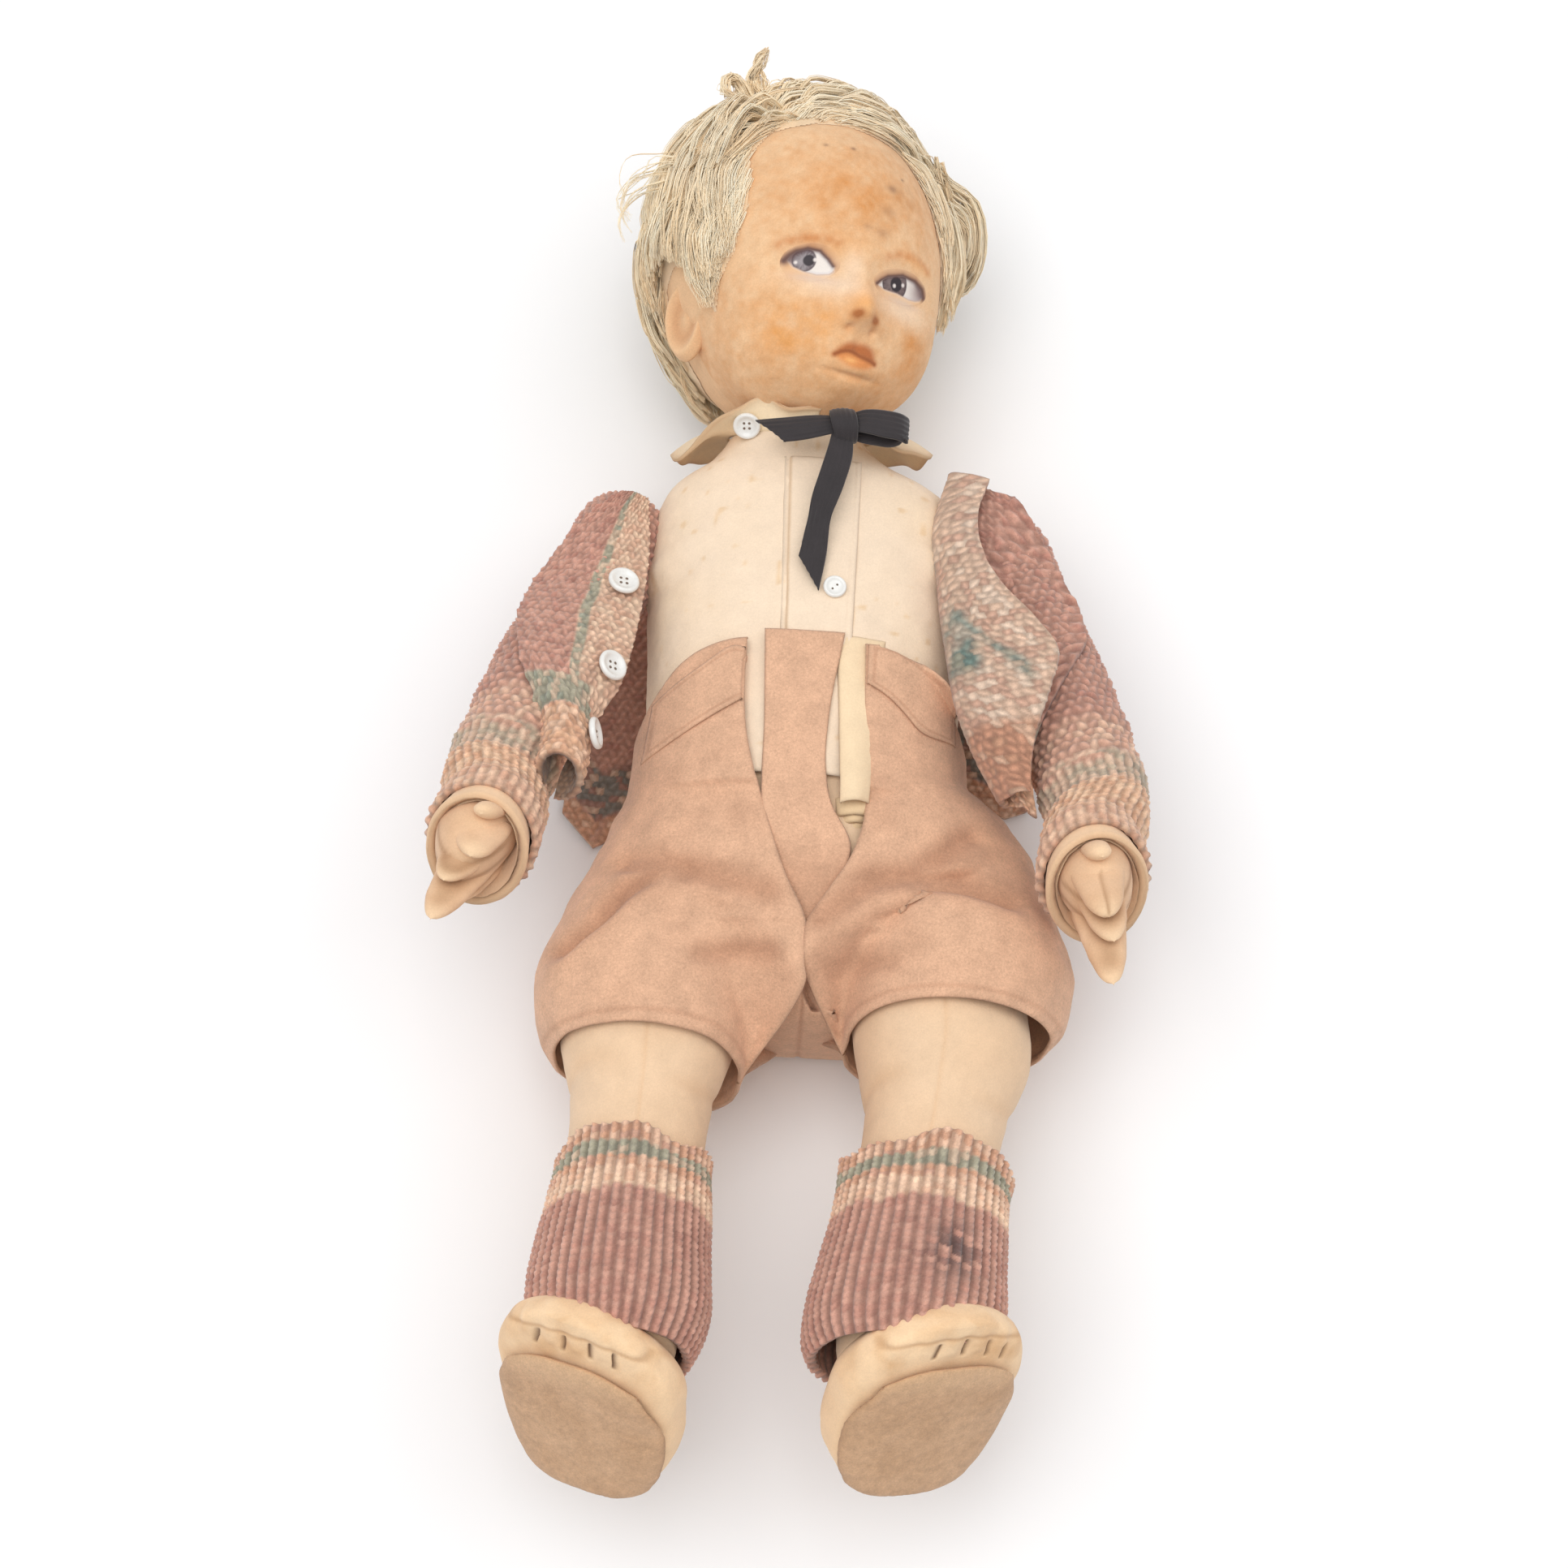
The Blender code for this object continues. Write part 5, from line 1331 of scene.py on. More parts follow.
def build_shorts(name, side):
    rows, cols = 190, 230
    u = np.linspace(0, 1, cols)[None, :]
    v = np.linspace(0, 1, rows)[:, None]
    grid = shorts_form(name, side, u, v)
    out = grid_normals(grid) * (-side)
    push = 1.0 * noise(grid, 20.0, 121, 2) + 0.8 * noise(grid, 8.0, 123, 2)
    dark, valley, ridge = np.zeros((3, rows, cols))
    front = step(grid[..., 2], 32, 42)
    for line, depth, width in CREASES[name]:
        far = to_line(grid[..., :2], line)
        below = to_line(grid[..., :2], np.array(line) + np.array([0, -4.5]))
        valley = np.maximum(valley, 1.7 * depth * bell(far, width) * front)
        ridge = np.maximum(ridge, 0.6 * depth * bell(below, width * 1.3) * front)
        # dark is painted shade along each crease, deeper creases darker
        dark = np.maximum(dark, (0.35 + 0.22 * depth) * bell(far, width * 1.7) * front)
    push = (push - valley + ridge) * step(v, 0.0, 0.05)
    grid = grid + out * push[..., None]
    for _ in range(7):
        grid = clear_of_body(grid, side, 1.5)
        ease(grid, 2)
    for _ in range(12):
        for line in (grid[:, 0], grid[:, -1], grid[-1], grid[:, 1], grid[-2]):
            line[1:-1] = (line[:-2] + 2 * line[1:-1] + line[2:]) / 4
    grid = clear_of_body(grid, side, 1.2)
    # painted crease shade, plus random darker mottling of the felt
    shade = np.clip(dark + 0.35 * np.clip(noise(grid, 11.0, 125, 3), 0, 1), 0, 1)
    tint = mix_at(SHORTS_C, SHORTS_DARK, 0.75 * shade)
    tint = mix_at(tint, SHORTS_DARK, 0.3 * (bell(v - 0.965, 0.008) + np.zeros((1, cols))))
    obj = felt_sheet("shorts_half_" + name, grid, SHORTS_THICK, FELT_SHORTS, None, tint, 127,
                     flip=side > 0)
    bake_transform(obj)
    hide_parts("shorts_leg_" + name)
    SHORTS_TREES.append(BVHTree.FromPolygons(grid.reshape(-1, 3).tolist(), quads(rows, cols).tolist()))


def on_shorts(x, y, missed=60.0):
    """Height of the shorts' front over a place."""
    best = None
    for tree in SHORTS_TREES:
        hit = tree.ray_cast(Vector((x, y, 120.0)), Vector((0, 0, -1)))[0]
        if hit is not None and (best is None or hit.z > best):
            best = hit.z
    return missed if best is None else best


# Pocket flaps: flat width, upper edge and lower edge
FLAPS = {"right": (0.042, [(-41.5, 23.5), (-38.8, 25.4), (-28.9, 31.4), (-18.5, 36.6), (-14.4, 34.6)],
                   [(-43.5, 7.2), (-38.4, 9.4), (-25.8, 16.0), (-16.0, 21.4), (-13.9, 22.6)]),
         "left": (0.032, [(16.8, 39.0), (24, 39.2), (32, 36.2), (39.5, 30.5), (41.6, 26)],
                  [(16.8, 27.6), (22, 25.2), (27, 21.6), (32.6, 16.9), (42.4, 17.2)])}


def to_rim(count):
    """How many steps each place of a row lies from the nearer end."""
    return np.minimum(np.arange(count), np.arange(count)[::-1])


def build_flap(name, flat_width, upper, lower):
    """Felt flap laid on the shorts between its two edges."""
    rows, cols = 40, 60
    v = np.linspace(0, 1, rows)[:, None, None]
    flat = along(upper, cols)[None] * (1 - v) + along(lower, cols)[None] * v
    z = np.array([[on_shorts(x, y) for x, y in line] for line in flat])
    z = np.maximum(z, np.median(z, axis=0, keepdims=True) - 3.0)
    for _ in range(3):
        ease(z, 2)
    grid = np.concatenate([flat, (z + FLAP_THICK)[..., None]], -1)
    seam = bell(0.45 * np.minimum(to_rim(cols)[None, :], to_rim(rows)[:, None]) - 1.6, 0.35)
    grid[..., 2] -= 0.25 * seam
    tint = mix_at(SHORTS_C, SHORTS_DARK, 0.45 * seam)
    right_way = np.cross(grid[0, 1] - grid[0, 0], grid[1, 0] - grid[0, 0])[2] > 0
    flap = felt_sheet("flap_" + name, grid, FLAP_THICK, FELT_SHORTS, "body", tint, 131,
                      flip=not right_way, roll=0.35)
    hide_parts("pocket_flap_" + name)


def build_fly():
    rows, cols = 150, 60
    y = np.linspace(42, -45, rows)
    a = spline([42, 38.1, 16.6, -10.7, -28, -40, -46], [-11.6, -11.4, -10.4, -9.4, -6.0, 0.0, 1.0], y)
    b = spline([42, 17.2, 3.3, -6.5, -18.2, -26, -34, -46], [10.2, 7.0, 6.8, 8.6, 14.6, 13.5, 10.6, 6.4], y)
    x = mix(a[:, None], b[:, None], np.linspace(0, 1, cols)[None, :])
    _, d, z = table(WAIST_ROWS, y)
    lift = np.interp(y, [-58, -44, -20, 0, 42], [-3.6, -2.4, -2.0, 0.4, 1.4])
    grid = joined(x, y[:, None] + 0 * x, (z + d)[:, None] - (x / 9.0) ** 2 * 0.25 + lift[:, None])
    grid[..., 2] += 0.5 * noise(grid, 12.0, 133, 2)
    tint = mix_at(SHORTS_C, SHORTS_DARK, 0.4 * step(y, -14, -30)[:, None] + np.zeros((rows, cols)))
    fly = felt_sheet("fly_felt", grid, FLY_THICK, FELT_SHORTS, "body", tint, 135, flip=True)
    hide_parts("fly_panel")


GUSSET_LINE = [(4, -38, 70), (4, -47, 67), (4, -54.5, 62), (4, -60, 50), (4, -62, 34), (4, -61.5, 16),
               (4, -59, 4.5), (4, -50, 1.5)]


def build_gusset():
    """Felt between the legs, from under the fly to the seat."""
    rows, cols, under_front = 80, 50, 26
    t = np.linspace(0, 1, rows)
    half = np.interp(t, [0, 0.15, 0.28, 0.45, 0.7, 1.0], [5, 6.5, 7.5, 11, 14, 15])
    u = np.linspace(-1, 1, cols)[None, :]
    grid = along(GUSSET_LINE, rows)[:, None] + X_AXIS * (half[:, None] * u)[..., None]
    for row in grid[:under_front]:
        for place in row:
            place[2] = max(place[2] - 9.0, min(place[2], on_shorts(place[0], place[1], 80.0) - 1.8))
    for _ in range(4):
        ease(grid[..., 2], 0)
    grid[..., 1] -= 0.48 * (1 - bell(u, 0.06))
    tint = mix_at(SHORTS_C * 0.92, SHORTS_DARK, 0.5 * bell(u, 0.05) + np.zeros((rows, 1)))
    gusset = felt_sheet("shorts_gusset", grid, FLY_THICK, FELT_SHORTS, "body", tint, 137,
                        flip=True)
    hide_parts("shorts_waist")


for side_name, side_sign in SIDES.items():
    build_shorts(side_name, side_sign)
for flap_name, flap_form in FLAPS.items():
    build_flap(flap_name, *flap_form)
build_fly()
build_gusset()


# Cardigan
# Way round the sleeve of a front's outer edge, in degrees, by the share of its length
EDGE_MARKS = [0, 0.15, 0.35, 0.5, 0.7, 0.85, 1]
RIGHT_EDGE_TURN = [98, 130, 150, 138, 108, 86, 74]
LEFT_EDGE_TURN = [104, 128, 140, 124, 72, 28, 6]
RIGHT_INNER = ([0, 0.2, 0.42, 0.62, 0.8, 1.0],
               [(-46.5, 88.5, 45), (-45.0, 70, 49.5), (-45.8, 50, 55), (-47.8, 32, 60.5), (-51.6, 15, 65),
                (-55.2, -4.6, 68.5)])
LEFT_FOLD = ([0, 0.12, 0.32, 0.54, 0.76, 0.88, 1.0],
             [(39, 99, 48), (35.8, 83, 52), (37.6, 61.7, 56.5), (40.5, 40.9, 60.5), (44.6, 20.7, 63.5),
              (49.3, 9.4, 64), (56.0, -1.8, 62)])
LEFT_FREE = ([0, 0.1, 0.2, 0.36, 0.5, 0.62, 0.74, 0.86, 1.0],
             [(48.5, 96.5, 50.5), (45.5, 85, 54.5), (46, 73, 60.0), (52.5, 57, 68.0), (61.5, 45.5, 73.5),
              (67.0, 35.5, 77.0), (65.0, 24.5, 77.5), (61.5, 11, 74.5), (61, -1, 67)])
RIGHT_WIDTH, RIGHT_LENGTH, LEFT_LENGTH = 36.0, 94.0, 100.0
PEARLS = [(-51.7, 56.1, 58.0), (-52.9, 28.8, 64.0), (-55.3, 10.3, 62.0)]
# Outline of a button: share of its radius, and height for a button of the given radius
BUTTON_OUTLINE = [(0.02, 1.15), (0.35, 1.1), (0.55, 1.12), (0.66, 1.5), (0.8, 1.95), (0.92, 1.85), (1.0, 1.3),
                  (0.98, 0.7), (0.85, 0.2), (0.5, 0.0), (0.02, 0.0)]
OUTLINE_RADIUS = 4.2


def sleeve_top(side, v, angle, lift):
    """Outer edge of a front, over the sleeve: angle from its inner side over its front to its outer side."""
    start, axis, up, across = arm_frame(side)
    s = np.interp(v, [0, 1], [-9, 84])
    w, h = table(SLEEVE_ROWS, s)
    inner = -across * side
    a = np.radians(angle)
    return (start + axis * s[..., None] + inner * ((w + lift) * np.cos(a) - sleeve_bow(side, s))[..., None]
            + up * ((h + lift) * np.sin(a))[..., None])


def bend_with_arm(obj):
    """Bakes the piece's placement into its mesh."""
    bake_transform(obj)


def cloth_blend(obj):
    """Cardigan front: its placement is baked into its mesh, through bend_with_arm."""
    bend_with_arm(obj)


def button_blend(obj):
    """A button's placement is baked into its mesh, through bend_with_arm."""
    bend_with_arm(obj)


def bobble_knit(across, down, edge, share):
    """Fine pebbles along the edge band, coarse bobbles over the rest, and the stitch of each place."""
    fine, col, row = moss_knit(across, down, 2.3, 1.9)
    coarse, _, _ = moss_knit(across + 0.5 * np.sin(down), down, 4.7, 4.3)
    k = step(edge, 12.5, 15.0)
    return mix(fine, 1.5 * share * coarse + (1.2 - share) * fine + 0.15, k), col, row


def cardigan_colours(edge, down, col, row, length):
    """Stripes along the front edge and across the hem, picked stitch by stitch."""
    main = yarn(col, row, 21, (0.5, MAUVE), (0.3, MAUVE_MID), (0.2, MAUVE_LOW))
    marl = yarn(col, row, 23, (0.45, BEIGE), (0.35, lin(196, 152, 128)), (0.2, lin(232, 204, 176)))
    green = yarn(col, row, 25, (0.6, GREEN), (0.25, BEIGE), (0.15, lin(112, 130, 118)))
    rust = yarn(col, row, 27, (0.45, lin(204, 160, 128)), (0.3, BEIGE), (0.25, RUST))
    e = edge + 0.8 * noise(by_column(row * 0.3), 1.0, 145, 1)
    tint = mix_at(marl, green, step(e, 13.2, 14.0) * step(e, 17.4, 16.4))
    tint = mix_at(tint, main, step(e, 16.4, 17.6))
    low = length - down
    tint = mix_at(tint, green, step(low, 24, 23) * step(low, 15, 16) * step(e, 8.5, 9.5))
    return mix_at(tint, rust, step(low, 16, 14.5))


def build_front_right():
    """Right front: a sheet over the sleeve that rolls into a tube at its hem."""
    rows, cols = 250, 110
    v = np.linspace(0, 1, rows)
    u = np.linspace(0, 1, cols)[None, :]
    outer = sleeve_top(-1, v, np.interp(v, EDGE_MARKS, RIGHT_EDGE_TURN), 2.6)
    inner = spline(*RIGHT_INNER, v)
    rise = np.interp(v, [0, 0.5, 0.8, 1.0], [2.5, 4.5, 6.0, 8.0])
    middle = (outer + inner) / 2 + np.array([-0.1, 0.15, 1.0]) * (2 * rise)[:, None]
    w = u[..., None]
    grid = outer[:, None] * (1 - w) ** 2 + middle[:, None] * 2 * w * (1 - w) + inner[:, None] * w ** 2
    turn = np.radians(215.0 - 318.0 * u + 0 * v[:, None])
    tube_start, tube_end = np.array([-59.5, 20.0, 68.0]), np.array([-63.2, -5.5, 71.5])
    low = mix_at(tube_start, tube_end, np.interp(v, [0.7, 1.0], [0, 1]))
    tube = joined(6.4 * np.cos(turn), 4.5 * np.sin(turn) - 1.0 * np.cos(turn), 6.6 * np.sin(turn))
    grid = mix(grid, low[:, None] + tube, step(v, 0.7, 0.93)[:, None, None])
    grid = grid + Z_AXIS * (0.7 * noise(grid, 12.0, 141, 2))[..., None]
    v = v[:, None]
    across = u * RIGHT_WIDTH + 0 * v
    down = v * RIGHT_LENGTH + 0.6 * noise(joined(across * 0.08, v * 4 + 0 * across, 0 * across), 1.0, 143, 1)
    height, col, row = bobble_knit(across, down, RIGHT_WIDTH - across, 0.4)
    tint = cardigan_colours(RIGHT_WIDTH - across, down, col, row, RIGHT_LENGTH)
    # behind=0.35 paints strong shade on the inner face, for the dark inside of the rolled hem
    obj = knit_piece("cardigan_right_knit", grid, 0.95 * height, tint, SLEEVE_THICK, None,
                     flip=True, behind=0.35)
    cloth_blend(obj)
    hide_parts("cardigan_front_right")
    n = -grid_normals(grid)
    for k, place in enumerate(PEARLS):
        off = np.linalg.norm(np.cross(grid - np.array(place), np.array(SIGHT)), axis=-1) - 0.2 * grid[..., 2]
        off = off + 100.0 * (n[..., 2] < 0.05)
        at = np.unravel_index(np.argmin(off), off.shape)
        build_button("cardigan_pearl_%d" % (k + 1), grid[at] + n[at] * 0.9, n[at], 4.4,
                     "cardigan_button_%d" % (k + 1), 4, -1.0)


def left_front_form(u, v):
    """Left front: from over the sleeve to the fold line, and back over itself to its free edge."""
    outer = sleeve_top(1, v, np.interp(v, EDGE_MARKS, LEFT_EDGE_TURN), 2.4)
    outer[:, 1] += 6.0 * step(v, 0.16, 0.0)
    fold = spline(*LEFT_FOLD, v)
    free = spline(*LEFT_FREE, v)
    base = outer * 0.5 + fold * 0.5 + Z_AXIS * (-0.5 + 1.5 * step(v, 0.6, 1.0))[:, None]
    gap = np.interp(v, [0, 0.1, 0.4, 1.0], [0.15, 1.0, 2.6, 2.6])[:, None]
    ladder = np.stack([outer, base, fold - Z_AXIS * gap, fold + np.array([-0.9, 0, 0]) * gap * 0.5,
                       fold + Z_AXIS * gap, fold * 0.55 + free * 0.45 + Z_AXIS * (gap + 1.4),
                       free + Z_AXIS * gap * 0.4], 0)
    marks = [0.0, 0.24, 0.46, 0.5, 0.54, 0.78, 1.0]
    grid = np.moveaxis(spline(marks, ladder.reshape(len(marks), -1), u).reshape(len(u), len(v), 3), 0, 1)
    return grid + Z_AXIS * (0.8 * noise(grid, 10.0, 151, 2) * step(u, 0.55, 0.8)[None, :])[..., None]


def wrong_side(col, row, y, u, v, cloud):
    """Colours of the turned-back side of the left front."""
    wrong = yarn(col, row, 31, (0.45, lin(222, 188, 162)), (0.3, lin(198, 148, 126)),
                 (0.25, lin(240, 218, 196)))
    teal = yarn(col, row, 33, (0.55, TEAL), (0.25, GREEN), (0.2, BEIGE))
    rust = yarn(col, row, 35, (0.5, lin(196, 138, 110)), (0.3, BEIGE), (0.2, RUST))
    sea = step(u, 0.74, 0.62) * step(v, 0.40, 0.47) * step(v, 0.70, 0.62) * (0.75 + 0.9 * cloud)
    trail = np.abs((u - 0.60) - 1.25 * (v - 0.45))
    sea = np.maximum(sea, 0.8 * bell(trail, 0.035) * step(u, 0.56, 0.6) * step(u, 0.94, 0.88))
    return mix_at(mix_at(wrong, teal, np.clip(sea, 0, 1)), rust, step(y, 18, 14))


def build_front_left():
    rows, cols = 250, 170
    v = np.linspace(0, 1, rows)
    u = np.linspace(0, 1, cols)
    grid = left_front_form(u, v)
    u, v = u[None, :], v[:, None]
    steps = np.linalg.norm(np.diff(grid, axis=1), axis=2)
    across = np.concatenate([np.zeros((rows, 1)), np.cumsum(steps, axis=1)], 1)
    edge = across[:, -1:] - across
    down = v * LEFT_LENGTH + 0 * across
    height, col, row = bobble_knit(across, down, edge - 14.0, 0.9)
    plain, plain_col, plain_row = moss_knit(across, down, 2.9, 2.3)
    back = step(u, 0.47, 0.53) + 0 * across
    height = mix(height, plain * 1.1, back)
    tint = cardigan_colours(edge, down, col, row, LEFT_LENGTH)
    wrong = wrong_side(plain_col, plain_row, grid[..., 1], u, v, noise(grid, 5.0, 153, 2))
    tint = mix_at(tint, wrong, back)
    obj = knit_piece("cardigan_left_knit", grid, 0.9 * height, tint, 1.8, None)
    cloth_blend(obj)
    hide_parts("cardigan_front_left")


def build_cardigan_back():
    rows, cols = 240, 330
    u = np.linspace(-1, 1, cols)[None, :]
    v = np.linspace(0, 1, rows)[:, None]
    hem = np.interp(u * 68, [-68, -58, -40, -26, 26, 42, 60, 70], [8, -2, 8, 18, 18, 22, 14, 18])
    y = mix(97.0, hem, v)
    half = np.interp(y, [0, 20, 40, 70, 97], [67, 66, 63, 56, 45])
    x = u * half + 1.0 * (u > 0)
    wide = np.abs(x)
    grid = joined(x, y, 2.2 + 4.0 * step(y, 30, 90) * step(wide, 50, 30) + 1.6 * step(wide, 40, 60))
    grid[..., 2] += 0.6 * noise(grid, 12.0, 161, 2) * step(wide, 40, 52)
    height, col, row = moss_knit(x + 80, 110 - y, 2.4, 2.0)
    main = yarn(col, row, 41, (0.5, MAUVE), (0.3, MAUVE_MID), (0.2, MAUVE_LOW))
    green = yarn(col, row, 43, (0.4, lin(92, 112, 110)), (0.35, MAUVE_DARK), (0.25, BEIGE))
    rust = yarn(col, row, 45, (0.5, RUST), (0.3, BEIGE), (0.2, MAUVE))
    low = y - hem
    tint = mix_at(main, green, step(low, 24, 21) * step(low, 7, 9))
    tint = mix_at(tint, rust, step(low, 8, 7))
    obj = knit_piece("cardigan_back_knit", grid, 0.6 * height, tint, 1.4, "body", flip=True)
    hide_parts("cardigan_back")


def build_button(name, centre, facing, radius, node, holes, side=None):
    """Pearl button with a rim, a dished face and sewing holes; with a side it is attached to no body and its
    placement is baked into its mesh.
    """
    facing = unit(facing)
    a = unit(np.cross(Y_AXIS if abs(facing[1]) < 0.9 else X_AXIS, facing))
    b = np.cross(facing, a)
    scale = radius / OUTLINE_RADIUS
    share, height = np.array(BUTTON_OUTLINE).T
    middle = centre + facing * (height * scale)[:, None]
    body = None if side else "body"
    verts, faces = capped(ring_grid(middle, share * radius, share * radius, a, b, 48))
    obj = piece(name, verts, faces, BUTTON, body, (1, 1, 1))
    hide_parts(node)
    spots = []
    for k in range(holes):
        turn = np.pi / 4 + 2 * np.pi * k / holes
        at = centre + (a * math.cos(turn) + b * math.sin(turn)) * radius * 0.27
        ends = at + facing * (np.array([0.7, 1.14]) * scale)[:, None]
        spots.append(capped(ring_grid(ends, [radius * 0.1] * 2, [radius * 0.1] * 2, b, a, 12)))
    verts, faces = merged(spots)
    dark = piece(name + "_holes", verts, faces, THREAD, body, lin(120, 104, 92))
    if side:
        button_blend(obj)
        button_blend(dark)


def build_body_buttons():
    """Collar button, set where the line of sight meets the collar, and shirt button on the placket."""
    hit, facing, _, _ = COLLAR_TREE[0].ray_cast(Vector((-20.0, 106.8, 60.0)) - 60 * SIGHT, SIGHT)
    facing = np.array(facing) * (1 if facing.z > 0 else -1)
    build_button("collar_pearl", np.array(hit) + facing * 0.5, facing + np.array([0.1, -0.2, 0.5]), 3.9,
                 "collar_button", 4)
    build_button("shirt_pearl", np.array([6.65, 55.6, 65.2]), np.array([0.08, 0.0, 1.0]), 3.2,
                 "shirt_button", 2)


build_front_right()
build_front_left()
build_cardigan_back()
build_body_buttons()


# Hair
# Outline of the bare face, ears and neck on the head: degrees round it and up it
BARE = np.array([(-66, -22), (-62, -13), (-54, -4), (-50, 8), (-49, 20), (-53, 33), (-44, 45), (-20, 50),
                 (0, 49.5), (20, 46), (38, 43), (48, 32), (51, 16), (53, -4), (60, -14), (68, -20), (74, -8),
                 (88, -2), (102, -8), (108, -25), (113, -40), (140, -48), (181, -50), (181, -91),
                 (-181, -91), (-181, -50), (-140, -48), (-113, -40), (-108, -25), (-102, -8), (-88, -2),
                 (-74, -8)], float)
PARTING = -24.0
HAIR_RADIUS = 46.0
STRAND_POINTS = 14
STRAND_SIDES = 3
GROUND_GAP = 0.4
TUFT = [[(-16, 44, 2), (-20, 50, 2), (-24.5, 54.5, 3), (-27.5, 52.5, 4), (-26.5, 48.5, 5), (-23, 49, 5)],
        [(-10, 46, 0), (-13.5, 52, 0), (-15.5, 58, 0), (-14.5, 63, 0), (-12, 66, 0)],
        [(-13, 46, 0), (-17, 52, -1), (-17.5, 57.5, 0), (-15, 61.5, 1)]]
WISP = np.array([(-38, 28, 4), (-46, 27, 2), (-53, 22, 1), (-57, 15, 1), (-55, 10, 2)], float)


def hair_room(d):
    """How far inside the hair a direction of the head lies, in degrees."""
    flat = d.reshape(-1, 3)
    lon = np.degrees(np.arctan2(flat[:, 0], flat[:, 2]))
    lat = np.degrees(np.arcsin(np.clip(flat[:, 1], -1, 1)))
    return -inside(np.stack([lon, lat], 1), BARE).reshape(d.shape[:-1])


def hair_flow(d, way):
    """Combed direction on the head: to each side of the parting, then down behind."""
    around = joined(-d[..., 1], d[..., 0], np.zeros(d.shape[:-1])) * way[..., None]
    behind = step(d[..., 2], 0.05, -0.7)[..., None]
    f = around * (1 - behind) - Y_AXIS * behind + np.array([0, -0.12, -0.12])
    f = f - d * (f * d).sum(-1, keepdims=True)
    return unit(f)


def strands(lines, radius):
    """Thin tapering strands along many lines with the same count of points, as one mesh."""
    m, n = lines.shape[:2]
    t = unit(np.gradient(lines, axis=1))
    a = unit(np.cross(t, np.array([0.31, 0.72, 0.62])))
    b = np.cross(t, a)
    thin = radius[:, None] * (1 - 0.65 * np.linspace(0, 1, n)[None, :] ** 2)
    ang = full_turn(STRAND_SIDES)[:, None]
    ring = a[:, :, None] * np.cos(ang) + b[:, :, None] * np.sin(ang)
    verts = (lines[:, :, None] + ring * thin[:, :, None, None]).reshape(-1, 3)
    first = np.arange(m) * n * STRAND_SIDES
    return verts, (quads(n, STRAND_SIDES, True)[None] + first[:, None, None]).reshape(-1, 4)


def locks(guides, count, spread, thin, tone, wave=0.7):
    """Strands round each guide line of the head's frame. Gives lines, radii and tones."""
    m, n = guides.shape[:2]
    t = np.linspace(0, 1, n)
    way = unit(np.gradient(guides, axis=1))
    side = unit(np.cross(unit(guides), way))
    out = np.cross(way, side)
    shape = (m, count, 1)
    a = rng.normal(0, spread, shape) * (1 - 0.45 * t)
    b = rng.normal(0, spread * 0.36, shape) * (1 - 0.45 * t)
    swing = wave * rng.uniform(0.4, 1.3, shape) * np.sin(t * n * 0.75 + rng.uniform(0, 6.3, shape)) * t
    lines = guides[:, None] + side[:, None] * (a + swing)[..., None] + out[:, None] * b[..., None]
    tones = np.clip(np.asarray(tone)[:, None] + rng.normal(0, 0.16, (m, count)), 0, 1)
    return lines.reshape(m * count, n, 3), thin * rng.uniform(0.7, 1.3, m * count), tones.ravel()


def combed_guides(count, near=None, rim=None):
    """Guide lines combed over the head: all over it, near the parting or along the hairline."""
    n = STRAND_POINTS
    d = unit(rng.normal(0, 1, (count * (40 if near or rim else 4), 3)))
    turn = np.degrees(np.arctan2(d[:, 0], d[:, 1]))
    keep = (hair_room(d) > 0.5) & ((d[:, 2] > -0.3) | (rng.random(len(d)) < 0.5))
    if near:
        keep = keep & (np.abs(turn - PARTING) < near) & (d[:, 1] > 0.3)
    if rim:
        keep = keep & (hair_room(d) < rim) & (d[:, 2] > 0.1)
    d = d[keep][:count]
    room = hair_room(d)
    turn = np.degrees(np.arctan2(d[:, 0], d[:, 1])) + (rng.normal(0, near, len(d)) if near else 0)
    way = np.where(turn < PARTING, 1.0, -1.0)
    far = rng.uniform(20, 36, len(d))
    full = (7.6 + 2.4 * step(d[:, 1], 0.5, 0.9)) * np.minimum(1.0, 0.22 + room / 26.0)
    high = full * rng.uniform(0.35, 1.0, len(d)) ** 0.7
    points, good, here = [], [], d
    for k in range(n):
        t = k / (n - 1)
        local = head_surface(here.copy())
        h = 0.8 + (high - 0.8) * step(t, 0.0, 0.35) - 0.25 * high * step(t, 0.7, 1.0)
        points.append(local + here * h[:, None])
        good.append(hair_room(here) > 0.2)
        f = hair_flow(here, way)
        bend = 0.7 * noise(local, 15.0, 175, 2)
        bend = bend + 0.4 * np.sin(t * 6.0 + 0.25 * local[:, 1] + 0.15 * local[:, 0])
        f = unit(f + np.cross(here, f) * bend[:, None])
        here = unit(here + f * (far / n / HAIR_RADIUS)[:, None])
    points = np.stack(points, 1)
    good = np.stack(good, 1)
    guides = []
    for line, fine in zip(points, good):
        last = n if fine.all() else int(np.argmin(fine))
        if last > 4:
            t = np.linspace(0, last - 1, n)
            guides.append(np.stack([np.interp(t, np.arange(n), line[:, k]) for k in range(3)], 1))
    return np.array(guides)


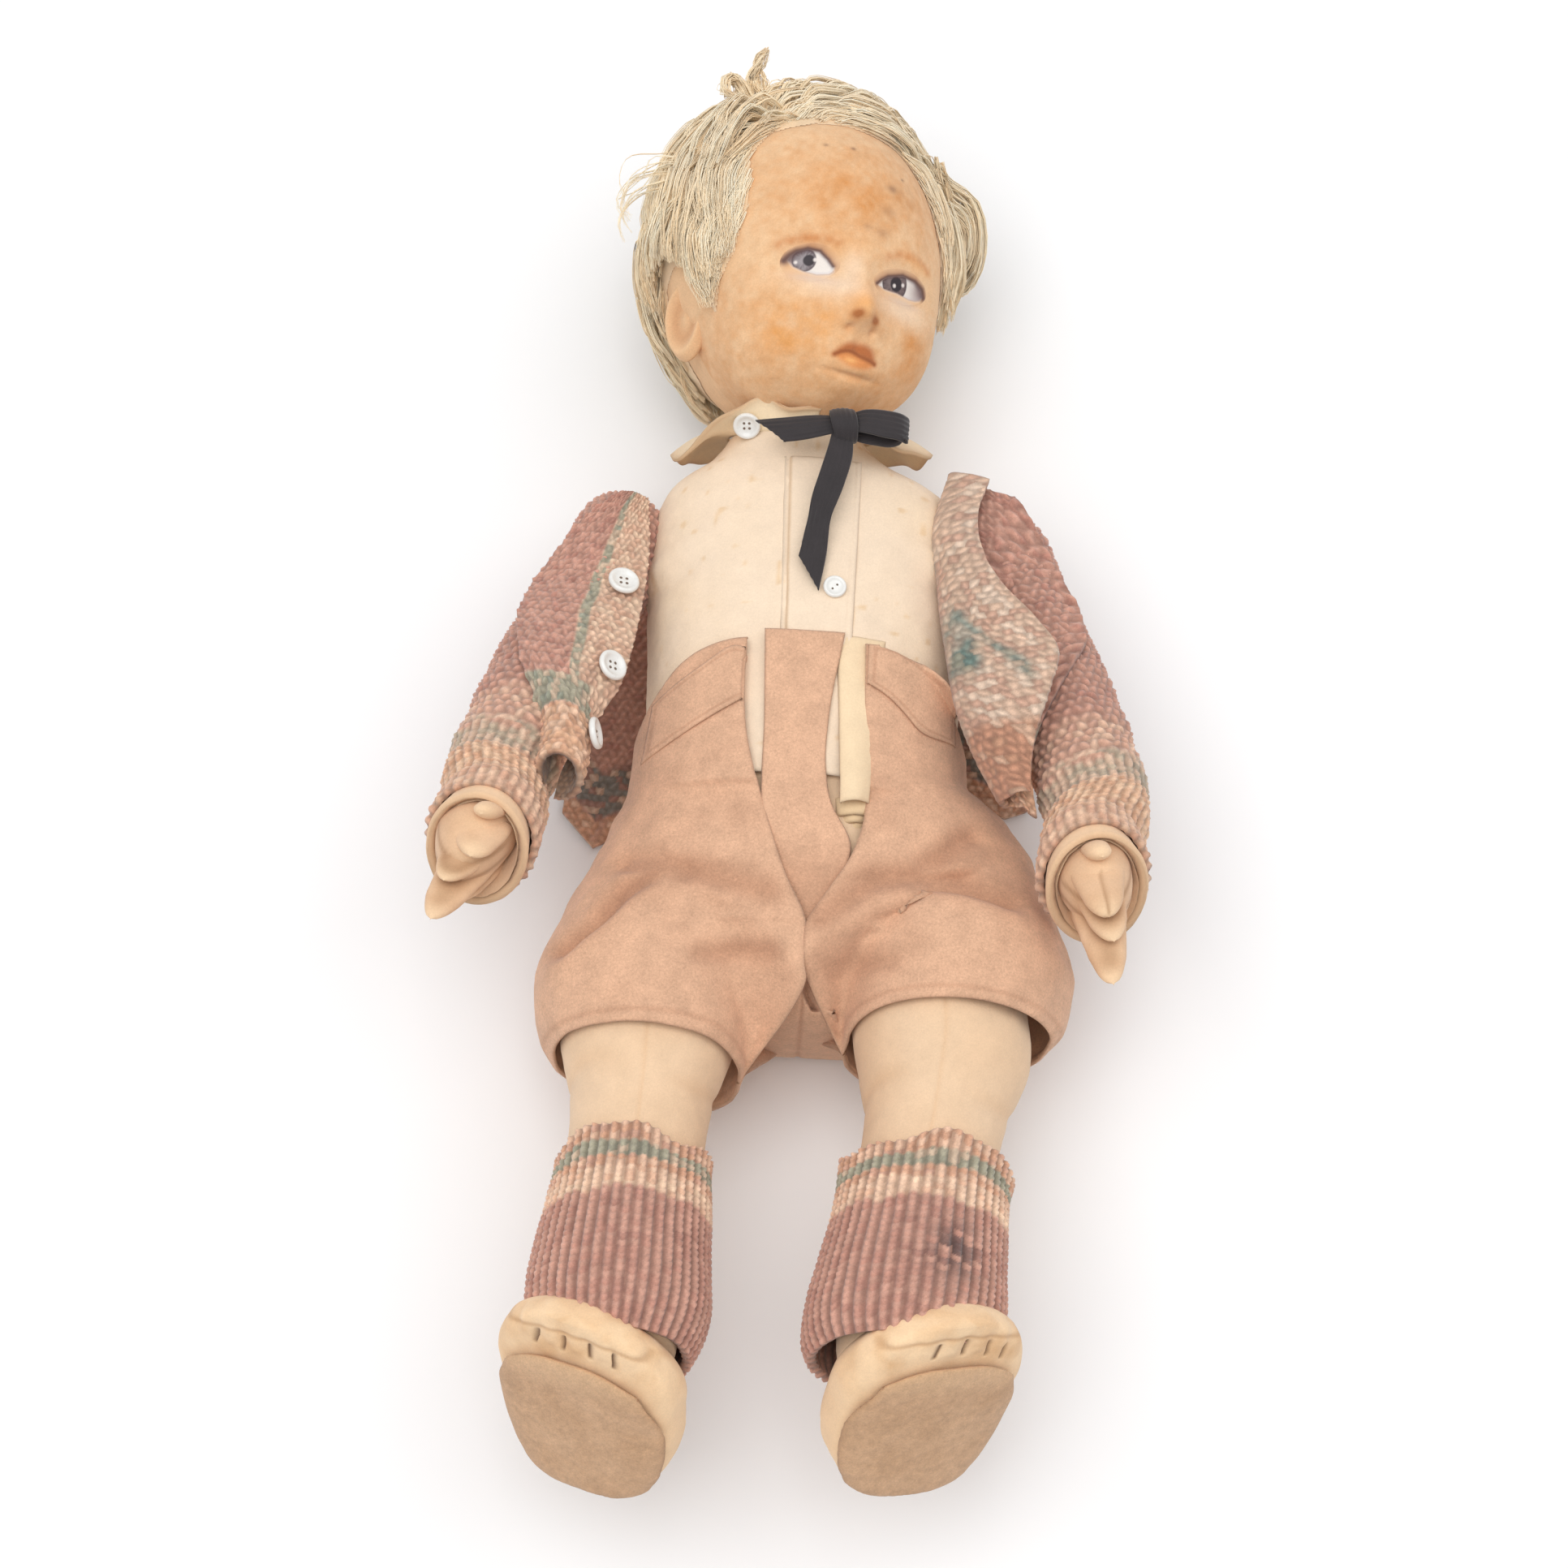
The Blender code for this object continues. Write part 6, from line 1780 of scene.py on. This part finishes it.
def build_cap():
    """Grooved base of combed hair under the strands."""
    lon = np.linspace(-math.pi, math.pi, 421)[:-1]
    lat = np.linspace(-1.0, 1.5, 240)
    d = directions(lon, lat)
    room = hair_room(d)
    p = head_surface(d)
    polar = np.arccos(np.clip(d[..., 2], -1, 1)) * HAIR_RADIUS
    track = np.where(d[..., 2] > -0.25, polar, 40 + p[..., 0])
    track = track + 3.0 * noise(p, 16.0, 173, 2)
    flat_track = joined(track, 0.10 * p[..., 0], 0.10 * p[..., 1])
    groove = noise(flat_track, 1.5, 177, 3)
    thick = np.clip(0.25 + 0.16 * room, 0.1, 4.4) + 0.75 * groove * step(room, 0, 14)
    turn = np.degrees(np.arctan2(d[..., 0], d[..., 1]))
    roots = bell(turn - PARTING, 16.0) * step(d[..., 1], 0.2, 0.5) * step(d[..., 2], 0.45, 0.15)
    thick = thick * (1 - 0.6 * roots)
    p = p + d * thick[..., None]
    rows, cols = room.shape
    faces = quads(rows, cols, True)
    faces = faces[(room > -1.2).ravel()[faces].all(1)]
    last = np.arange(cols) + (rows - 1) * cols
    fan = np.stack([last, np.roll(last, -1), np.full(cols, rows * cols)], 1)
    flat = np.concatenate([p.reshape(-1, 3), p[-1].mean(0)[None] + np.array([[0, 0.1, 0]])])
    used = np.unique(np.concatenate([faces.ravel(), fan.ravel()]))
    index = np.zeros(len(flat), int)
    index[used] = np.arange(len(used))
    # painted shade: the cap under the strands is darker overall and in the low parts of its grooves
    tint = 0.82 * mix_at(HAIR_DARK, HAIR_C, np.clip(0.62 + 0.9 * groove, 0, 1)).reshape(-1, 3)
    tint = mix(lin(236, 204, 166), tint, step(room, -1.0, 5.0).reshape(-1, 1))
    tint = np.concatenate([tint, tint[-1:]])[used]
    faces = index[faces].tolist() + index[fan].tolist()
    cap = piece("hair_cap", head_place(flat[used]), faces, HAIR, "head", tint, flat[used])
    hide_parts("wig")


def loop_guides(points, copies, spread):
    """Guide lines along one line of points, each a little off it."""
    shifts = [rng.normal(0, spread, (len(points), 3)) for _ in range(copies)]
    return np.array([along(np.array(points, float) + shift, STRAND_POINTS) for shift in shifts])


def curl_guides(count):
    """Guide lines of the curl beside the left eye: from the temple into a loop."""
    curls = []
    for _ in range(count):
        start = np.array([rng.uniform(30, 38), rng.uniform(26, 36), rng.uniform(9, 19)])
        centre = np.array([42.5, 13.0, 11.0]) + rng.normal(0, 1.0, 3)
        size = rng.uniform(4.0, 11.8)
        ang = np.linspace(1.6, 1.6 - rng.uniform(3.6, 5.2), 12)
        ring = centre + joined(np.cos(ang) * size * 0.8, np.sin(ang) * size * 1.35, 2.5 * np.sin(ang * 0.7))
        curls.append(along(np.concatenate([start[None], ring]), STRAND_POINTS))
    return np.array(curls)


def wisp_guides(count):
    """Guide lines of the loose hairs beside the right temple."""
    wisps = []
    for _ in range(count):
        shift = rng.normal(0, 1.0, (5, 3)) + np.array([0, rng.uniform(-8, 4), 0])
        wisps.append(along(WISP + shift, STRAND_POINTS))
    return np.array(wisps)


def build_strands():
    sets = []

    def add_locks(guides, count, spread, thin, low, high, wave=0.7):
        sets.append(locks(guides, count, spread, thin, rng.uniform(low, high, len(guides)), wave))

    add_locks(combed_guides(1500), 10, 1.25, 0.155, 0.25, 0.8)
    add_locks(combed_guides(150, near=9.0), 9, 0.8, 0.17, 0.2, 0.75)
    add_locks(combed_guides(170, rim=4.5), 8, 1.1, 0.145, 0.3, 0.8)
    for points in TUFT:
        add_locks(loop_guides(points, 9, 0.7), 10, 0.8, 0.18, 0.2, 0.6)
    add_locks(curl_guides(34), 13, 0.75, 0.18, 0.15, 0.65, 0.25)
    add_locks(wisp_guides(13), 3, 0.4, 0.11, 0.5, 0.9)
    lines, radius, tone = (np.concatenate(parts) for parts in zip(*sets))
    lines = head_place(lines)
    lines[..., 2] = np.maximum(lines[..., 2], GROUND_GAP)
    verts, faces = strands(lines, radius)
    tone = np.repeat(tone, STRAND_POINTS * STRAND_SIDES)[:, None]
    tint = np.where(tone < 0.5, mix(HAIR_DARK, HAIR_C, tone * 2), mix(HAIR_C, HAIR_PALE, tone * 2 - 1))
    obj = piece("hair_strands", verts, faces, HAIR, "head", tint)
    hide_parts("hair_tuft")


def build_ear(name, side):
    rows, cols = 60, 80
    lat = np.linspace(-1.5, 1.5, rows)[:, None]
    lon = full_turn(cols)[None, :]
    x = np.cos(lat) * np.cos(lon)
    z = np.cos(lat) * np.sin(lon)
    y = np.sin(lat) + 0 * lon
    r = np.sqrt(y * y + z * z)
    hollow = -2.6 * bell(r - 0.25, 0.42) + 1.2 * bell(r - 0.86, 0.16)
    out = np.where(x > 0, x * 4.2 + hollow * step(x, 0.1, 0.6), x * 4.0)
    p = joined(out, y * 11.8 + 1.5 * z, z * (7.4 + 1.2 * y))
    turn = np.array(Matrix.Rotation(math.radians(-28), 3, "Y"))
    p = mirrored(p @ turn.T, side) + np.array([33.2 if side > 0 else -35.4, -17.5, 0.5])
    verts, faces = capped(p)
    if side > 0:
        faces = [f[::-1] for f in faces]
    # painted shade in the ear's hollow
    deep = bell(r - 0.45, 0.25) * step(x, 0.1, 0.6)
    tint = with_poles(mix_at(FACE_C, lin(196, 140, 98), 0.6 * deep))
    ear = piece("ear_felt_" + name, head_place(verts), faces, FELT_FACE, "head", tint, verts)
    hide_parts("ear_" + name)


build_cap()
build_strands()
for side_name, side_sign in SIDES.items():
    build_ear(side_name, side_sign)


# Camera, light and floor
CAMERA_TILT, CAMERA_ROLL = math.radians(70), math.radians(3.3)
CAMERA_AIM, CAMERA_DISTANCE = Vector((-0.004, 0, 0.06)), 0.84
SENSOR_WIDTH = 36.0
FOCAL_PIXELS, PHOTO_PIXELS = 3874.0, 1932.0
LAMPS = [("key", (-0.35, -0.1, 1.5), 1.2, 11.0), ("fill", (0.6, 0.25, 1.4), 1.2, 4.8)]
FLOOR_HALF, FLOOR_Z = 4, -0.0004


def linked(name, data):
    """New object of the data, in the scene."""
    obj = bpy.data.objects.new(name, data)
    bpy.context.scene.collection.objects.link(obj)
    return obj


def build_camera():
    ahead = Vector((0, math.cos(CAMERA_TILT), -math.sin(CAMERA_TILT)))
    up = Vector((0, math.sin(CAMERA_TILT), math.cos(CAMERA_TILT)))
    right = Vector((1, 0, 0))
    side = right * math.cos(CAMERA_ROLL) + up * math.sin(CAMERA_ROLL)
    top = up * math.cos(CAMERA_ROLL) - right * math.sin(CAMERA_ROLL)
    cam = bpy.data.cameras.new("camera")
    cam.sensor_width = SENSOR_WIDTH
    cam.lens = SENSOR_WIDTH * FOCAL_PIXELS / PHOTO_PIXELS
    obj = linked("camera", cam)
    turn = Matrix((side, top, -ahead)).transposed().to_4x4()
    obj.matrix_world = Matrix.Translation(CAMERA_AIM - ahead * CAMERA_DISTANCE) @ turn
    bpy.context.scene.camera = obj


def build_lights():
    for name, place, size, power in LAMPS:
        lamp = bpy.data.lights.new(name, "AREA")
        lamp.size = size
        lamp.energy = power
        light = linked(name, lamp)
        light.location = place
        light.rotation_euler = (-Vector(place)).to_track_quat("-Z", "Y").to_euler()
    world = bpy.data.worlds.new("studio")
    world.use_nodes = True
    sky = world.node_tree.nodes["Background"]
    sky.inputs["Color"].default_value = (1, 1, 1, 1)
    sky.inputs["Strength"].default_value = 0.62
    bpy.context.scene.world = world


def build_floor():
    mesh = bpy.data.meshes.new("floor")
    corners = [(-1, -1), (1, -1), (1, 1), (-1, 1)]
    mesh.from_pydata([(x * FLOOR_HALF, y * FLOOR_HALF, FLOOR_Z) for x, y in corners], [], [(0, 1, 2, 3)])
    floor = linked("floor", mesh)
    mat, nodes, links, shader = new_material("floor_paper")
    cloud = add(nodes, "ShaderNodeTexNoise", Scale=3.0, Detail=2.0)
    ramp = add(nodes, "ShaderNodeValToRGB")
    ramp.color_ramp.elements[0].color = (0.93, 0.93, 0.94, 1)
    ramp.color_ramp.elements[1].color = (0.96, 0.96, 0.965, 1)
    links.new(cloud.outputs["Fac"], ramp.inputs["Fac"])
    links.new(ramp.outputs["Color"], shader.inputs["Base Color"])
    shader.inputs["Roughness"].default_value = 0.9
    shader.inputs["Specular IOR Level"].default_value = 0.1
    mesh.materials.append(mat)


build_camera()
build_lights()
build_floor()
bpy.context.scene.view_settings.view_transform = "Standard"
